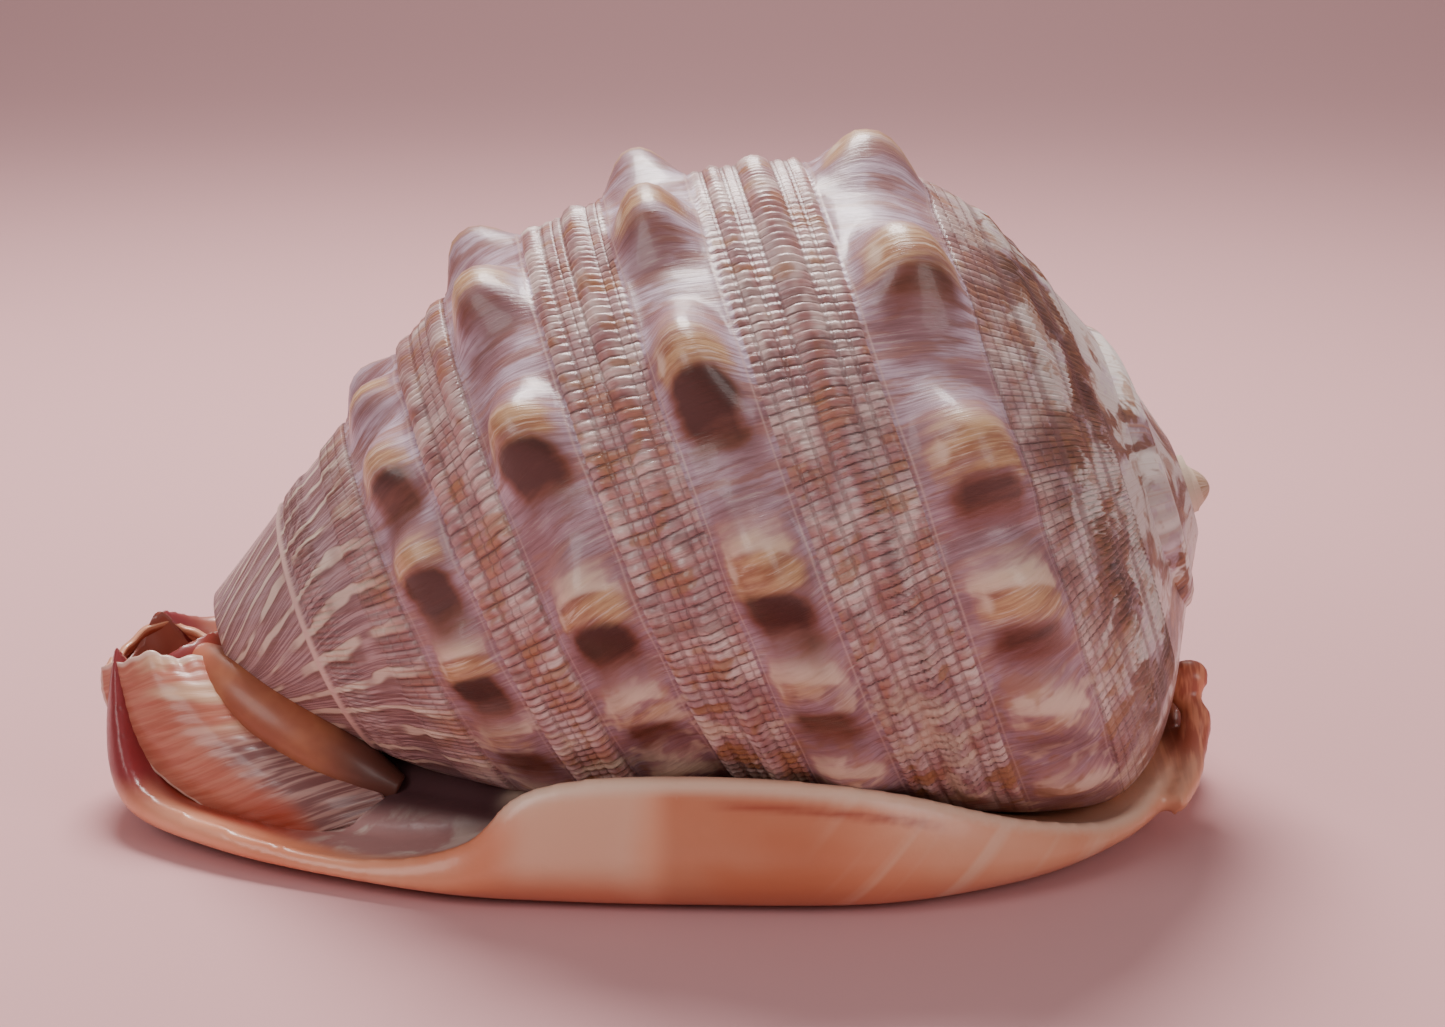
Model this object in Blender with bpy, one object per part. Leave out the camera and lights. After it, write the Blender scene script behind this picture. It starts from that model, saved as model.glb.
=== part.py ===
"""Helmet shell: one grown, heavy spiral shell that lies on its flat underside.

The body whorl leans on its shell axis, with four spiral rows of knobs and raised cord bands.
A saucer-like callus wraps round the underside. On the far side it is the thick outer lip.
The mouth is a long toothed slot in the underside, which leads into the hollow body whorl and, at the
front, into a short canal that bends up through the horn.

All measures below are millimetres. x runs to the spire, -y is the side that shows the callus, z is up,
and z = 0 is the plane that the shell rests on.
"""

import math

import bmesh
import bpy
from mathutils import Vector

MM = 0.001

# Driving dimensions
APEX = Vector((75.7, 0.0, 44.5))
AXIS_TILT = math.radians(17.0)
AXIAL_GROWTH = 1.36
WALL = 4.5
FLOOR = 7.0
LOWEST_BODY = 1.5
SOFT_FROM = 8.0
ORIGIN = Vector((0.652, 1.003, 0.0))

# Body whorl: distance from the apex along the axis, then its reach up, down, near and far
BODY_SECTIONS = (
    (3.0, 8.5, 6.0, 8.0, 9.0),
    (8.0, 23.0, 15.0, 18.0, 22.0),
    (14.0, 35.5, 26.0, 31.0, 36.0),
    (20.0, 46.0, 33.0, 41.0, 46.0),
    (28.0, 53.5, 37.0, 47.5, 52.0),
    (38.0, 58.0, 36.0, 51.0, 55.0),
    (48.0, 60.5, 33.0, 52.5, 56.0),
    (60.0, 61.5, 29.0, 52.5, 55.0),
    (72.0, 61.0, 25.0, 50.5, 52.0),
    (84.0, 59.0, 20.0, 46.5, 48.0),
    (96.0, 53.0, 13.0, 40.5, 42.0),
    (108.0, 44.5, 4.0, 32.5, 35.0),
    (118.0, 38.0, -5.0, 24.5, 28.0),
    (128.0, 31.0, -11.0, 16.0, 20.0),
    (136.0, 25.5, -15.0, 8.0, 12.0),
)
BODY_SIDES = 44
RING_CLOSES_AT = 290.0

# Towards the front end the rings stand square to the axis: how much, from where, over what length
FRONT_SQUARES_UP = 0.9
FRONT_STARTS = 104.0
FRONT_LENGTH = 32.0

# Cord bands between the knob rows: place along the axis, half width, height
CORD_BANDS = ((47.9, 7.4, 1.0), (73.6, 5.8, 0.9), (96.5, 4.4, 0.7))
BAND_RING_SHARES = (-1.0, -0.66, 0.66, 1.0)
BAND_CLEARANCE = 1.5

# Knob rows: place along the axis, height, length along the axis, angle of the knob that faces out
# on the near side. Below that knob the steps are short, and above it they are long.
KNOB_ROWS = (
    (32.5, 5.6, 15.0, 112.0),
    (62.0, 6.4, 13.5, 98.5),
    (85.6, 5.6, 13.0, 95.0),
    (105.6, 3.4, 10.5, 95.5),
)
KNOBS_BELOW = 3
KNOBS_ABOVE = 6
KNOB_STEP_BELOW = 22.0
KNOB_STEP_ABOVE = 32.0
KNOB_WIDTH = 13.6
KNOB_SIDES = 8

# Knobs near the callus are low: least share of the height, and the angles where it starts and ends
KNOB_FADE = (0.45, 60.0, 105.0)

# Levels of a knob: share of its height, share of its spread, lean towards its lower side
KNOB_LEVELS = ((-0.5, 1.3, -1.0), (0.35, 0.98, 0.3), (0.85, 0.62, 0.9), (1.0, 0.3, 1.2))

# Spire: the earlier whorls as one ribbon that winds in to the apex, with a groove at each turn
SPIRE_COLUMNS = 14
SPIRE_TURNS = 3
SPIRE_SHRINK = 0.58
SPIRE_RADIUS = 31.0
SPIRE_DEPTH = 8.6
SPIRE_TIP_DEPTH = 2.2
SPIRE_STEP = 2.4
SPIRE_STARTS_AT = 290.0
SPIRE_ROOT = 9.0

# Callus and lip: x, y, height of the rim, width of the rim, lift of the outer edge, going round from
# the front tip along the near side
MARGIN = (
    (-76.0, -6.0, 21.5, 3.0, 3.5),
    (-71.5, -19.0, 8.5, 3.0, 2.0),
    (-57.0, -30.0, 5.5, 3.0, 1.0),
    (-39.0, -38.5, 4.5, 4.0, 0.6),
    (-25.0, -43.5, 8.0, 5.5, 0.0),
    (-15.0, -45.5, 15.5, 6.5, 0.0),
    (5.0, -47.0, 17.5, 7.0, 0.0),
    (30.0, -46.5, 15.5, 7.0, 0.0),
    (50.0, -39.0, 9.5, 5.5, 0.8),
    (63.0, -28.0, 6.0, 4.0, 2.0),
    (71.5, -16.0, 14.0, 3.0, 3.0),
    (76.5, -4.0, 19.0, 3.0, 4.0),
    (77.5, 9.0, 16.5, 7.0, 3.5),
    (67.0, 28.0, 16.0, 12.0, 1.5),
    (50.0, 45.0, 17.0, 14.0, 0.6),
    (25.0, 57.0, 17.5, 14.0, 0.0),
    (-5.0, 60.0, 17.0, 14.0, 0.0),
    (-32.0, 54.0, 16.0, 13.0, 0.0),
    (-52.0, 40.0, 15.0, 11.0, 0.6),
    (-65.0, 23.0, 17.0, 8.0, 2.0),
    (-73.5, 8.0, 22.5, 4.0, 3.5),
)
MARGIN_STEPS = 3
BOWL_DIP = 9.0
BACK_RISE = 11.0

# Where the far side's back begins, and over how much width it comes in
BACK_FROM = 14.0
BACK_BLEND = 16.0

# The rim's outer face: how far in from the outline, and at what share of the rim's height
FOOT_INSET = 9.0
CHAMFER_INSET = 3.2
FACE_BULGE = 0.4
FACE_LOW = 0.16
FACE_HIGH = 0.42

# Horn of the front canal: centre, then radius, from the hollow under the body to its mouth
HORN = (
    ((-22.0, -17.0, 10.0), 6.0),
    ((-34.0, -16.0, 9.5), 9.0),
    ((-46.0, -12.5, 10.5), 11.5),
    ((-57.0, -8.0, 12.0), 12.5),
    ((-64.5, -3.5, 15.5), 12.0),
    ((-69.0, -1.0, 19.5), 11.0),
)
HORN_SIDES = 14
HORN_LOWEST = 3.2

# Ridge on the front end of the body, above the horn
RIDGE = (
    ((-61.0, 3.0, 24.5), 3.0),
    ((-57.5, -8.5, 23.5), 4.0),
    ((-51.0, -16.5, 20.5), 4.4),
    ((-42.5, -22.0, 17.0), 4.0),
    ((-32.0, -22.0, 13.0), 2.4),
)
RIDGE_SIDES = 10

# Mouth slot: its middle line with half widths, then the canal that goes on from it
SLOT = (
    (-60.0, 4.5, 4.5),
    (-45.0, 8.5, 5.0),
    (-20.0, 13.5, 5.5),
    (10.0, 15.5, 5.5),
    (35.0, 14.5, 5.0),
    (47.0, 13.0, 3.5),
)
SLOT_STEPS = 14
SLOT_TOP = 15.0
SLOT_FLARE = 1.5
SLOT_FLARE_HEIGHT = 2.0
FRONT_SLOT_BEFORE = -45.0
FRONT_SLOT_TOP = 12.0
CANAL = (
    ((-48.0, 7.5, 6.0), 4.5),
    ((-58.0, 4.5, 9.0), 5.0),
    ((-65.0, 2.0, 15.0), 6.0),
    ((-69.5, 0.5, 23.0), 7.5),
    ((-72.5, -0.5, 33.0), 9.0),
)
CANAL_SIDES = 12

# Hollow of the body whorl, in turns of the same rings as the body
HOLLOW_FROM = 62.0
HOLLOW_TO = 352.0
HOLLOW_STEPS = 20
HOLLOW_SIDES = 12
HOLLOW_MIDDLE = 63.0
HOLLOW_REACH = 42.0
CORE_SHARE = 0.25
HOLLOW_SQUARENESS = 0.75

# Radii of the whorl that the wall's thickness is a share of, on the way up and in the last stretch
WALL_RADIUS = 52.0
LAST_WALL_RADIUS = 30.0
LAST_STRETCH_FROM = 300.0
HOLLOW_START_SWELL = 0.35
HOLLOW_END_SHARE = 0.9

# Teeth along the slot
TOOTH_LENGTH = 7.0
TOOTH_WIDTH = 2.6
TOOTH_HEIGHT = 4.0
TOOTH_MIDDLE = 2.6
TOOTH_PITCH = 5.0
TOOTH_STANDS = 1.2
TOOTHLESS_BEHIND = 6.0
TOOTHLESS_IN_FRONT = 12.0

SHELL_COLOUR = (0.62, 0.47, 0.47, 1.0)
SHELL_ROUGHNESS = 0.3


def clear_scene():
    for thing in list(bpy.data.objects):
        bpy.data.objects.remove(thing)


def make_collection(name, hidden):
    found = bpy.data.collections.new(name)
    found.hide_render = hidden
    bpy.context.scene.collection.children.link(found)
    return found


def make_object(name, shape, collection):
    """An object from a bmesh, closed and facing outwards."""
    bmesh.ops.remove_doubles(shape, verts=shape.verts, dist=0.02 * MM)
    bmesh.ops.triangulate(shape, faces=shape.faces)
    bmesh.ops.recalc_face_normals(shape, faces=shape.faces)
    mesh = bpy.data.meshes.new(name)
    shape.to_mesh(mesh)
    shape.free()
    thing = bpy.data.objects.new(name, mesh)
    collection.objects.link(thing)
    if collection.hide_render:
        thing.hide_render = True
        thing.display_type = "WIRE"
    return thing


def placed(point):
    """A design point in millimetres as a world point in metres."""
    return (Vector(point) - ORIGIN) * MM


def between(values, place):
    """The row of a table of numbers at a place on its first column, on a smooth curve."""
    stations = [row[0] for row in values]
    last = len(values) - 1
    index = max(0, min(last - 1, sum(1 for station in stations if station <= place) - 1))
    rows = [values[max(0, min(last, index + shift))] for shift in (-1, 0, 1, 2)]
    gap = rows[2][0] - rows[1][0]
    share = (place - rows[1][0]) / gap
    return [hermite(rows, column, gap, share) for column in range(1, len(values[0]))]


def hermite(rows, column, gap, share):
    slopes = []
    for before, after in ((rows[0], rows[2]), (rows[1], rows[3])):
        slopes.append((after[column] - before[column]) / (after[0] - before[0]) * gap)
    start, end = rows[1][column], rows[2][column]
    square, cube = share * share, share**3
    value = (2 * cube - 3 * square + 1) * start + (3 * square - 2 * cube) * end
    return value + (cube - 2 * square + share) * slopes[0] + (cube - square) * slopes[1]


def ease(share):
    """A smooth step from 0 to 1."""
    share = max(0.0, min(1.0, share))
    return share * share * (3.0 - 2.0 * share)


def axial_scale(along, angle):
    """How far along the axis a spiral line has moved at an angle, 180 being the top of the shell."""
    if angle <= RING_CLOSES_AT:
        growth = AXIAL_GROWTH ** ((angle - 180.0) / 360.0)
        squared_up = FRONT_SQUARES_UP * ease((along - FRONT_STARTS) / FRONT_LENGTH)
        return 1.0 + (growth - 1.0) * (1.0 - squared_up)
    start = axial_scale(along, RING_CLOSES_AT)
    share = (angle - RING_CLOSES_AT) / (360.0 - RING_CLOSES_AT)
    return start + (axial_scale(along, 0.0) - start) * ease(share)


def axis_forward():
    """The shell axis, from the apex towards the front end."""
    return Vector((-math.cos(AXIS_TILT), 0.0, -math.sin(AXIS_TILT)))


def body_point(along, angle, share=1.0, lift=0.0):
    """A point on the body whorl: the angle is 0 at the bottom, 90 at the near side, 180 at the top."""
    top, bottom, near, far = between(BODY_SECTIONS, along)
    turn = math.radians(angle)
    tall = (top + bottom) / 2.0
    rise = (top - bottom) / 2.0
    wide = near if math.sin(turn) > 0.0 else far
    slope = Vector((math.sin(turn) / max(wide, 1.0), -math.cos(turn) / max(tall, 1.0)))
    slope.normalize()
    side = share * wide * math.sin(turn) + lift * slope.x
    high = rise + share * tall * -math.cos(turn) + lift * slope.y
    upward = Vector((-math.sin(AXIS_TILT), 0.0, math.cos(AXIS_TILT)))
    point = APEX + axis_forward() * along * axial_scale(along, angle)
    point += upward * high + Vector((0.0, -side, 0.0))
    if point.z < SOFT_FROM:
        depth = SOFT_FROM - LOWEST_BODY
        point.z = SOFT_FROM - depth * (1.0 - math.exp((point.z - SOFT_FROM) / depth))
    return point


def loft(rings, closed=False):
    """A closed skin over rings of equal length, capped at both ends unless it closes on itself."""
    shape = bmesh.new()
    made = [[shape.verts.new(placed(point)) for point in ring] for ring in rings]
    pairs = list(zip(made, made[1:]))
    if closed:
        pairs.append((made[-1], made[0]))
    for first, second in pairs:
        for index in range(len(first)):
            after = (index + 1) % len(first)
            shape.faces.new((first[index], first[after], second[after], second[index]))
    if not closed:
        shape.faces.new(made[0])
        shape.faces.new(list(reversed(made[-1])))
    return shape


def smooth_path(stops, steps):
    """Points and radii on a smooth curve through stops of (centre, radius)."""
    found = []
    for index in range(len(stops) - 1):
        around = [stops[max(0, min(len(stops) - 1, index + shift))] for shift in (-1, 0, 1, 2)]
        rows = [tuple(Vector(centre)) + (radius,) for centre, radius in around]
        for step in range(steps):
            found.append(uniform_curve(rows, step / steps))
    last_centre, last_radius = stops[-1]
    found.append(tuple(last_centre) + (last_radius,))
    return [(Vector(row[:3]), row[3]) for row in found]


def uniform_curve(rows, share):
    """Catmull-Rom value of four rows of numbers, between the second and the third."""
    square, cube = share * share, share**3
    values = []
    for before, start, end, after in zip(*rows):
        first = (end - before) * share
        second = (2 * before - 5 * start + 4 * end - after) * square
        third = (3 * start - before - 3 * end + after) * cube
        values.append(0.5 * (2 * start + first + second + third))
    return tuple(values)


def tube(stops, sides, steps=2, lowest=0.0):
    """A round tube of changing radius along a smooth curve, closed at both ends and flat at its lowest."""
    path = smooth_path(stops, steps)
    rings = []
    for index, (centre, radius) in enumerate(path):
        ahead = path[min(index + 1, len(path) - 1)][0]
        behind = path[max(index - 1, 0)][0]
        along = (ahead - behind).normalized()
        across = along.cross(Vector((0.0, 0.0, 1.0))).normalized()
        over = across.cross(along)
        ring = []
        for step in range(sides):
            turn = 2.0 * math.pi * step / sides
            point = centre + across * math.cos(turn) * radius + over * math.sin(turn) * radius
            point.z = max(point.z, lowest)
            ring.append(point)
        rings.append(ring)
    return loft(rings)


def band_lift(along):
    """How far the cord bands stand above the whorl at a place along the axis."""
    lift = 0.0
    for middle, half_width, height in CORD_BANDS:
        away = abs(along - middle) / half_width
        if away < 1.0:
            lift += height * min(1.0, 3.0 * (1.0 - away))
    return lift


def ring_places():
    """Places of the body's rings: its own sections, and three for each cord band."""
    places = {row[0] for row in BODY_SECTIONS}
    for middle, half_width, _ in CORD_BANDS:
        near_band = {place for place in places if abs(place - middle) < half_width + BAND_CLEARANCE}
        places -= near_band
        for share in BAND_RING_SHARES:
            places.add(middle + share * half_width)
    return sorted(places)


def make_body(collection):
    rings = []
    for along in ring_places():
        angles = [360.0 * step / BODY_SIDES for step in range(BODY_SIDES)]
        rings.append([body_point(along, angle, lift=band_lift(along)) for angle in angles])
    return make_object("helmet_shell", loft(rings), collection)


def spire_point(column, inward, raised):
    """A point of the early whorls: the groove of a column, or the shoulder that stands beside it."""
    turns = column / SPIRE_COLUMNS
    size = SPIRE_SHRINK**turns
    turn = math.radians(SPIRE_STARTS_AT - 360.0 * turns)
    shown = ease(2.5 * turns)
    depth = SPIRE_TIP_DEPTH + SPIRE_DEPTH * size - raised * SPIRE_STEP * size * shown + 1.5 * (1.0 - shown)
    radius = SPIRE_RADIUS * size * (1.0 - inward)
    upward = Vector((-math.sin(AXIS_TILT), 0.0, math.cos(AXIS_TILT)))
    outward = upward * -math.cos(turn) + Vector((0.0, -math.sin(turn), 0.0))
    return APEX + axis_forward() * depth + outward * radius


def make_spire(collection):
    """The early whorls: each turn of the ribbon starts on the groove that the turn outside it left."""
    shape = bmesh.new()
    columns = SPIRE_COLUMNS * SPIRE_TURNS
    groove = [shape.verts.new(placed(spire_point(column, 0.0, 0.0))) for column in range(columns + 1)]
    shoulder = [shape.verts.new(placed(spire_point(column, 0.1, 1.0))) for column in range(columns + 1)]
    tip = shape.verts.new(placed(APEX + axis_forward() * -0.4))
    for column in range(columns):
        shape.faces.new((groove[column], groove[column + 1], shoulder[column + 1], shoulder[column]))
        inner = [groove[column + SPIRE_COLUMNS], groove[column + SPIRE_COLUMNS + 1]] if (
            column + SPIRE_COLUMNS < columns
        ) else [tip]
        shape.faces.new([shoulder[column], shoulder[column + 1]] + inner[::-1])
    shape.faces.new((shoulder[columns], tip, groove[columns]))
    shape.faces.new((shoulder[columns - SPIRE_COLUMNS], groove[columns], tip))
    outline = groove[: SPIRE_COLUMNS + 1] + [shoulder[0]]
    root = [shape.verts.new(vertex.co + axis_forward() * SPIRE_ROOT * MM) for vertex in outline]
    for index in range(len(outline)):
        after = (index + 1) % len(outline)
        shape.faces.new((outline[index], outline[after], root[after], root[index]))
    shape.faces.new(root)
    return make_object("spire", shape, collection)


def make_knobs(collection):
    """Blunt knobs, each a cushion with a steep lower side, in spiral rows."""
    shape = bmesh.new()
    least, fade_from, fade_to = KNOB_FADE
    for along, height, length, pivot in KNOB_ROWS:
        for angle in knob_angles(pivot):
            fade = least + (1.0 - least) * ease((angle - fade_from) / (fade_to - fade_from))
            add_knob(shape, along, angle, height * fade, length)
    return make_object("knobs", shape, collection)


def knob_angles(pivot):
    """Angles of a row's knobs, from the lowest on the near side over the top to the far side."""
    below = [pivot - KNOB_STEP_BELOW * step for step in range(KNOBS_BELOW, 0, -1)]
    return below + [pivot + KNOB_STEP_ABOVE * step for step in range(KNOBS_ABOVE)]


def add_knob(shape, along, angle, height, length):
    base = body_point(along, angle)
    up = (body_point(along, angle, lift=1.0) - base).normalized()
    spiral = (body_point(along, angle + 1.0) - body_point(along, angle - 1.0)).normalized()
    across = up.cross(spiral).normalized()
    rings = []
    for rise, spread, lean in KNOB_LEVELS:
        ring = []
        for side in range(KNOB_SIDES):
            turn = 2.0 * math.pi * side / KNOB_SIDES
            bulge = (abs(math.cos(turn)) ** 4 + abs(math.sin(turn)) ** 4) ** -0.25
            along_spiral = math.cos(turn) * bulge * spread * KNOB_WIDTH / 2.0 - lean
            sideways = math.sin(turn) * bulge * spread * length / 2.0
            ring.append(base + spiral * along_spiral + across * sideways + up * height * rise)
        rings.append([shape.verts.new(placed(point)) for point in ring])
    for lower, upper in zip(rings, rings[1:]):
        for side in range(KNOB_SIDES):
            after = (side + 1) % KNOB_SIDES
            shape.faces.new((lower[side], lower[after], upper[after], upper[side]))
    shape.faces.new(list(reversed(rings[0])))
    shape.faces.new(rings[-1])


def margin_loop():
    """The callus's outline all the way round, MARGIN_STEPS points for each one in the table."""
    count = len(MARGIN)
    found = []
    for index in range(count):
        rows = [MARGIN[(index + shift) % count] for shift in (-1, 0, 1, 2)]
        for step in range(MARGIN_STEPS):
            found.append(uniform_curve(rows, step / MARGIN_STEPS))
    return found


def inset(loop, index, distance, height):
    """A point of the outline moved inwards by a distance, at a height."""
    before = Vector(loop[index - 1][:2])
    after = Vector(loop[(index + 1) % len(loop)][:2])
    along = (after - before).normalized()
    inward = Vector((-along.y, along.x))
    place = Vector(loop[index][:2]) + inward * distance
    return Vector((place.x, place.y, height))


def make_saucer(collection):
    """Callus and outer lip: a solid floor with a rim of changing height, lofted round its outline.

    On the far side the rim's back rises into the whorl, because there it is the whorl's own thick edge.
    """
    loop = margin_loop()
    rings = [[] for _ in range(7)]
    for index, (_, y, height, width, edge_lift) in enumerate(loop):
        lift = max(edge_lift, 0.0)
        back = ease((y - BACK_FROM) / BACK_BLEND)
        floor = min(FLOOR, 0.75 * height)
        crest = 0.3 * lift + height
        rings[0].append(inset(loop, index, FOOT_INSET, 0.0))
        rings[1].append(inset(loop, index, CHAMFER_INSET, 0.25 * lift))
        rings[2].append(inset(loop, index, FACE_BULGE, lift + FACE_LOW * height))
        rings[3].append(inset(loop, index, -FACE_BULGE, lift + FACE_HIGH * height))
        rings[4].append(inset(loop, index, 0.32 * width + 2.0 * back, crest))
        rings[5].append(inset(loop, index, 0.85 * width + 2.0 * back, crest - 0.8 + BACK_RISE * back))
        rings[6].append(inset(loop, index, width + BOWL_DIP + 3.0 * back, floor + 1.6 * BACK_RISE * back))
    return make_object("saucer", loft(rings), collection)


def squared(value):
    """A sine or cosine pushed outwards, which makes a round section a little square."""
    return math.copysign(abs(value) ** HOLLOW_SQUARENESS, value)


def make_hollow(collection):
    """The room in the body whorl, from the mouth up the far side and over the top."""
    rings = []
    for step in range(HOLLOW_STEPS + 1):
        share = step / HOLLOW_STEPS
        angle = HOLLOW_FROM + (HOLLOW_TO - HOLLOW_FROM) * share
        opened = math.sin(0.5 * math.pi * min(1.0, 4.0 * share))
        swell = HOLLOW_START_SWELL + (1.0 - HOLLOW_START_SWELL) * opened
        if share > HOLLOW_END_SHARE:
            swell *= 0.55 + 4.5 * (1.0 - share)
        ring = []
        for side in range(HOLLOW_SIDES):
            turn = 2.0 * math.pi * side / HOLLOW_SIDES
            along = HOLLOW_MIDDLE + HOLLOW_REACH * swell * squared(math.cos(turn))
            outer = 1.0 - WALL / (LAST_WALL_RADIUS if angle > LAST_STRETCH_FROM else WALL_RADIUS)
            middle = (CORE_SHARE + outer) / 2.0
            depth = middle + (outer - middle) * swell * squared(math.sin(turn))
            point = body_point(along, angle, share=depth)
            point.z = max(point.z, FLOOR)
            ring.append(point)
        rings.append(ring)
    return make_object("hollow", loft(rings), collection)


def slot_row(x):
    """Middle and half width of the slot at a place along the shell."""
    return between(SLOT, x)


def make_slot(collection):
    """The mouth's long curved slot, cut up through the floor."""
    front_end = SLOT[0][0]
    back_end = SLOT[-1][0]
    rings = []
    for step in range(SLOT_STEPS + 1):
        x = back_end + (front_end - back_end) * step / SLOT_STEPS
        middle, half = slot_row(x)
        top = SLOT_TOP if x > FRONT_SLOT_BEFORE else FRONT_SLOT_TOP
        rings.append(
            [
                Vector((x, middle - half - SLOT_FLARE, -1.0)),
                Vector((x, middle + half + SLOT_FLARE, -1.0)),
                Vector((x, middle + half, SLOT_FLARE_HEIGHT)),
                Vector((x, middle + half, top)),
                Vector((x, middle - half, top)),
                Vector((x, middle - half, SLOT_FLARE_HEIGHT)),
            ]
        )
    return make_object("slot", loft(rings), collection)


def make_teeth(collection):
    """Short rounded ridges across both edges of the slot."""
    shape = bmesh.new()
    last = SLOT[-1][0] - TOOTHLESS_BEHIND
    first = SLOT[0][0] + TOOTHLESS_IN_FRONT
    for index in range(int((last - first) / TOOTH_PITCH)):
        x = last - TOOTH_PITCH * index
        middle, half = slot_row(x)
        for side in (-1.0, 1.0):
            edge = middle + side * (half - TOOTH_STANDS + TOOTH_LENGTH / 2.0)
            add_tooth(shape, Vector((x, edge, TOOTH_MIDDLE)))
    return make_object("teeth", shape, collection)


def add_tooth(shape, centre):
    made = bmesh.ops.create_uvsphere(shape, u_segments=6, v_segments=3, radius=0.5)
    for vertex in made["verts"]:
        place = vertex.co
        stretched = Vector((place.x * TOOTH_WIDTH, place.y * TOOTH_LENGTH, place.z * TOOTH_HEIGHT))
        vertex.co = placed(centre + stretched)


def add_boolean(target, tool, operation, solver="EXACT"):
    step = target.modifiers.new(operation.lower() + "_" + tool.name, "BOOLEAN")
    step.operation = operation
    step.solver = solver
    step.object = tool


def make_material():
    material = bpy.data.materials.new("shell")
    material.use_nodes = True
    shader = material.node_tree.nodes["Principled BSDF"]
    shader.inputs["Base Color"].default_value = SHELL_COLOUR
    shader.inputs["Roughness"].default_value = SHELL_ROUGHNESS
    shader.inputs["Metallic"].default_value = 0.0
    return material


def main():
    clear_scene()
    kept = make_collection("helmet_shell", False)
    helpers = make_collection("helmet_shell_cutters", True)
    shell = make_body(kept)
    # The exact solver loses the body under these two, so they use the manifold one.
    add_boolean(shell, make_spire(helpers), "UNION", solver="MANIFOLD")
    add_boolean(shell, make_knobs(helpers), "UNION", solver="MANIFOLD")
    add_boolean(shell, make_saucer(helpers), "UNION")
    add_boolean(shell, make_object("horn", tube(HORN, HORN_SIDES, lowest=HORN_LOWEST), helpers), "UNION")
    add_boolean(shell, make_object("ridge", tube(RIDGE, RIDGE_SIDES), helpers), "UNION")
    add_boolean(shell, make_hollow(helpers), "DIFFERENCE")
    add_boolean(shell, make_slot(helpers), "DIFFERENCE")
    add_boolean(shell, make_object("canal", tube(CANAL, CANAL_SIDES), helpers), "DIFFERENCE")
    add_boolean(shell, make_teeth(helpers), "UNION")
    shell.data.shade_smooth()
    shell.data.set_sharp_from_angle(angle=math.radians(35.0))
    shell.data.materials.append(make_material())


main()
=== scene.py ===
# %% [markdown]
# # A helmet shell, lying on its mouth
#
# A helmet shell is one piece of grown shell. Its last and largest turn, the body whorl, carries
# spiral rows of knobs with beaded cords between them. A thick glossy callus wraps the underside.
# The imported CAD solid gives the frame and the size. This lesson makes the fine surface around it.

# %% Load the frame
import math

import bpy
import numpy as np
from mathutils import Matrix, Vector


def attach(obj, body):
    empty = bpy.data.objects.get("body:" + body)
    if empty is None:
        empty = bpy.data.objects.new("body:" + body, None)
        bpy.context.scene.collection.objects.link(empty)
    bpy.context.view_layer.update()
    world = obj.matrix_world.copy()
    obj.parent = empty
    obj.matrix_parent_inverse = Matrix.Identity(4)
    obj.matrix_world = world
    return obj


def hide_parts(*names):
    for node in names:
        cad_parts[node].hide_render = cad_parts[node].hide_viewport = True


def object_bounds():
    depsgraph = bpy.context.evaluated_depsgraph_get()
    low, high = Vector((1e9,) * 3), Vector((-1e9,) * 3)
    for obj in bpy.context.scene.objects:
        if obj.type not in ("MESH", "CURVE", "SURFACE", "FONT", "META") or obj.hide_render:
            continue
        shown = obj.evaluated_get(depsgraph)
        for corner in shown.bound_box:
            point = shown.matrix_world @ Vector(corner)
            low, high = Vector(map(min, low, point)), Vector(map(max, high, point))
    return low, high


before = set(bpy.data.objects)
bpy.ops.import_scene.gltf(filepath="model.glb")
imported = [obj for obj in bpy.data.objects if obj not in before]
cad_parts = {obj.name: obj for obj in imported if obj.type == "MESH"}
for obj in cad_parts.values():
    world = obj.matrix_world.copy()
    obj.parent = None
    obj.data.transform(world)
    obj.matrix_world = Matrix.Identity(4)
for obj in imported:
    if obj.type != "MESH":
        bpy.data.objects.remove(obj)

cad_low, cad_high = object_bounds()
cad_node = "helmet_shell"
print("CAD box in mm:", [round(1000 * (high - low), 1) for low, high in zip(cad_low, cad_high)])

# %% [markdown]
# ## Coordinates that grow with the shell
#
# A shell grows by adding to its lip, so two coordinates fit it better than x, y and z. The angle
# runs round the shell axis: 0 is the underside, 90 the near side, 180 the top. The place is the
# distance from the apex along the axis. Lines of equal place are the spiral lines that the knob rows
# and cords follow. All lengths are millimetres in the shell's own frame, and are moved to the CAD
# frame only at the end.

# %% The shell's own frame
MM = 0.001
APEX = np.array((75.7, 0.0, 44.5))
ORIGIN = np.array((0.652, 1.003, 0.0))
AXIS_TILT = math.radians(17.0)
AXIS = np.array((-math.cos(AXIS_TILT), 0.0, -math.sin(AXIS_TILT)))
RAISED = np.array((-math.sin(AXIS_TILT), 0.0, math.cos(AXIS_TILT)))
NEAR_SIDE = np.array((0.0, -1.0, 0.0))


def to_frame(points):
    """Points in the shell's millimetres as points in the CAD frame's metres."""
    return (np.asarray(points) - ORIGIN) * MM


# %% [markdown]
# The whorl's outline is measured at 15 places along the axis: how far it reaches up, down, near and
# far. A smooth curve through those numbers gives every place between them, for thousands of points
# at once, because numpy works on whole arrays.

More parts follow.
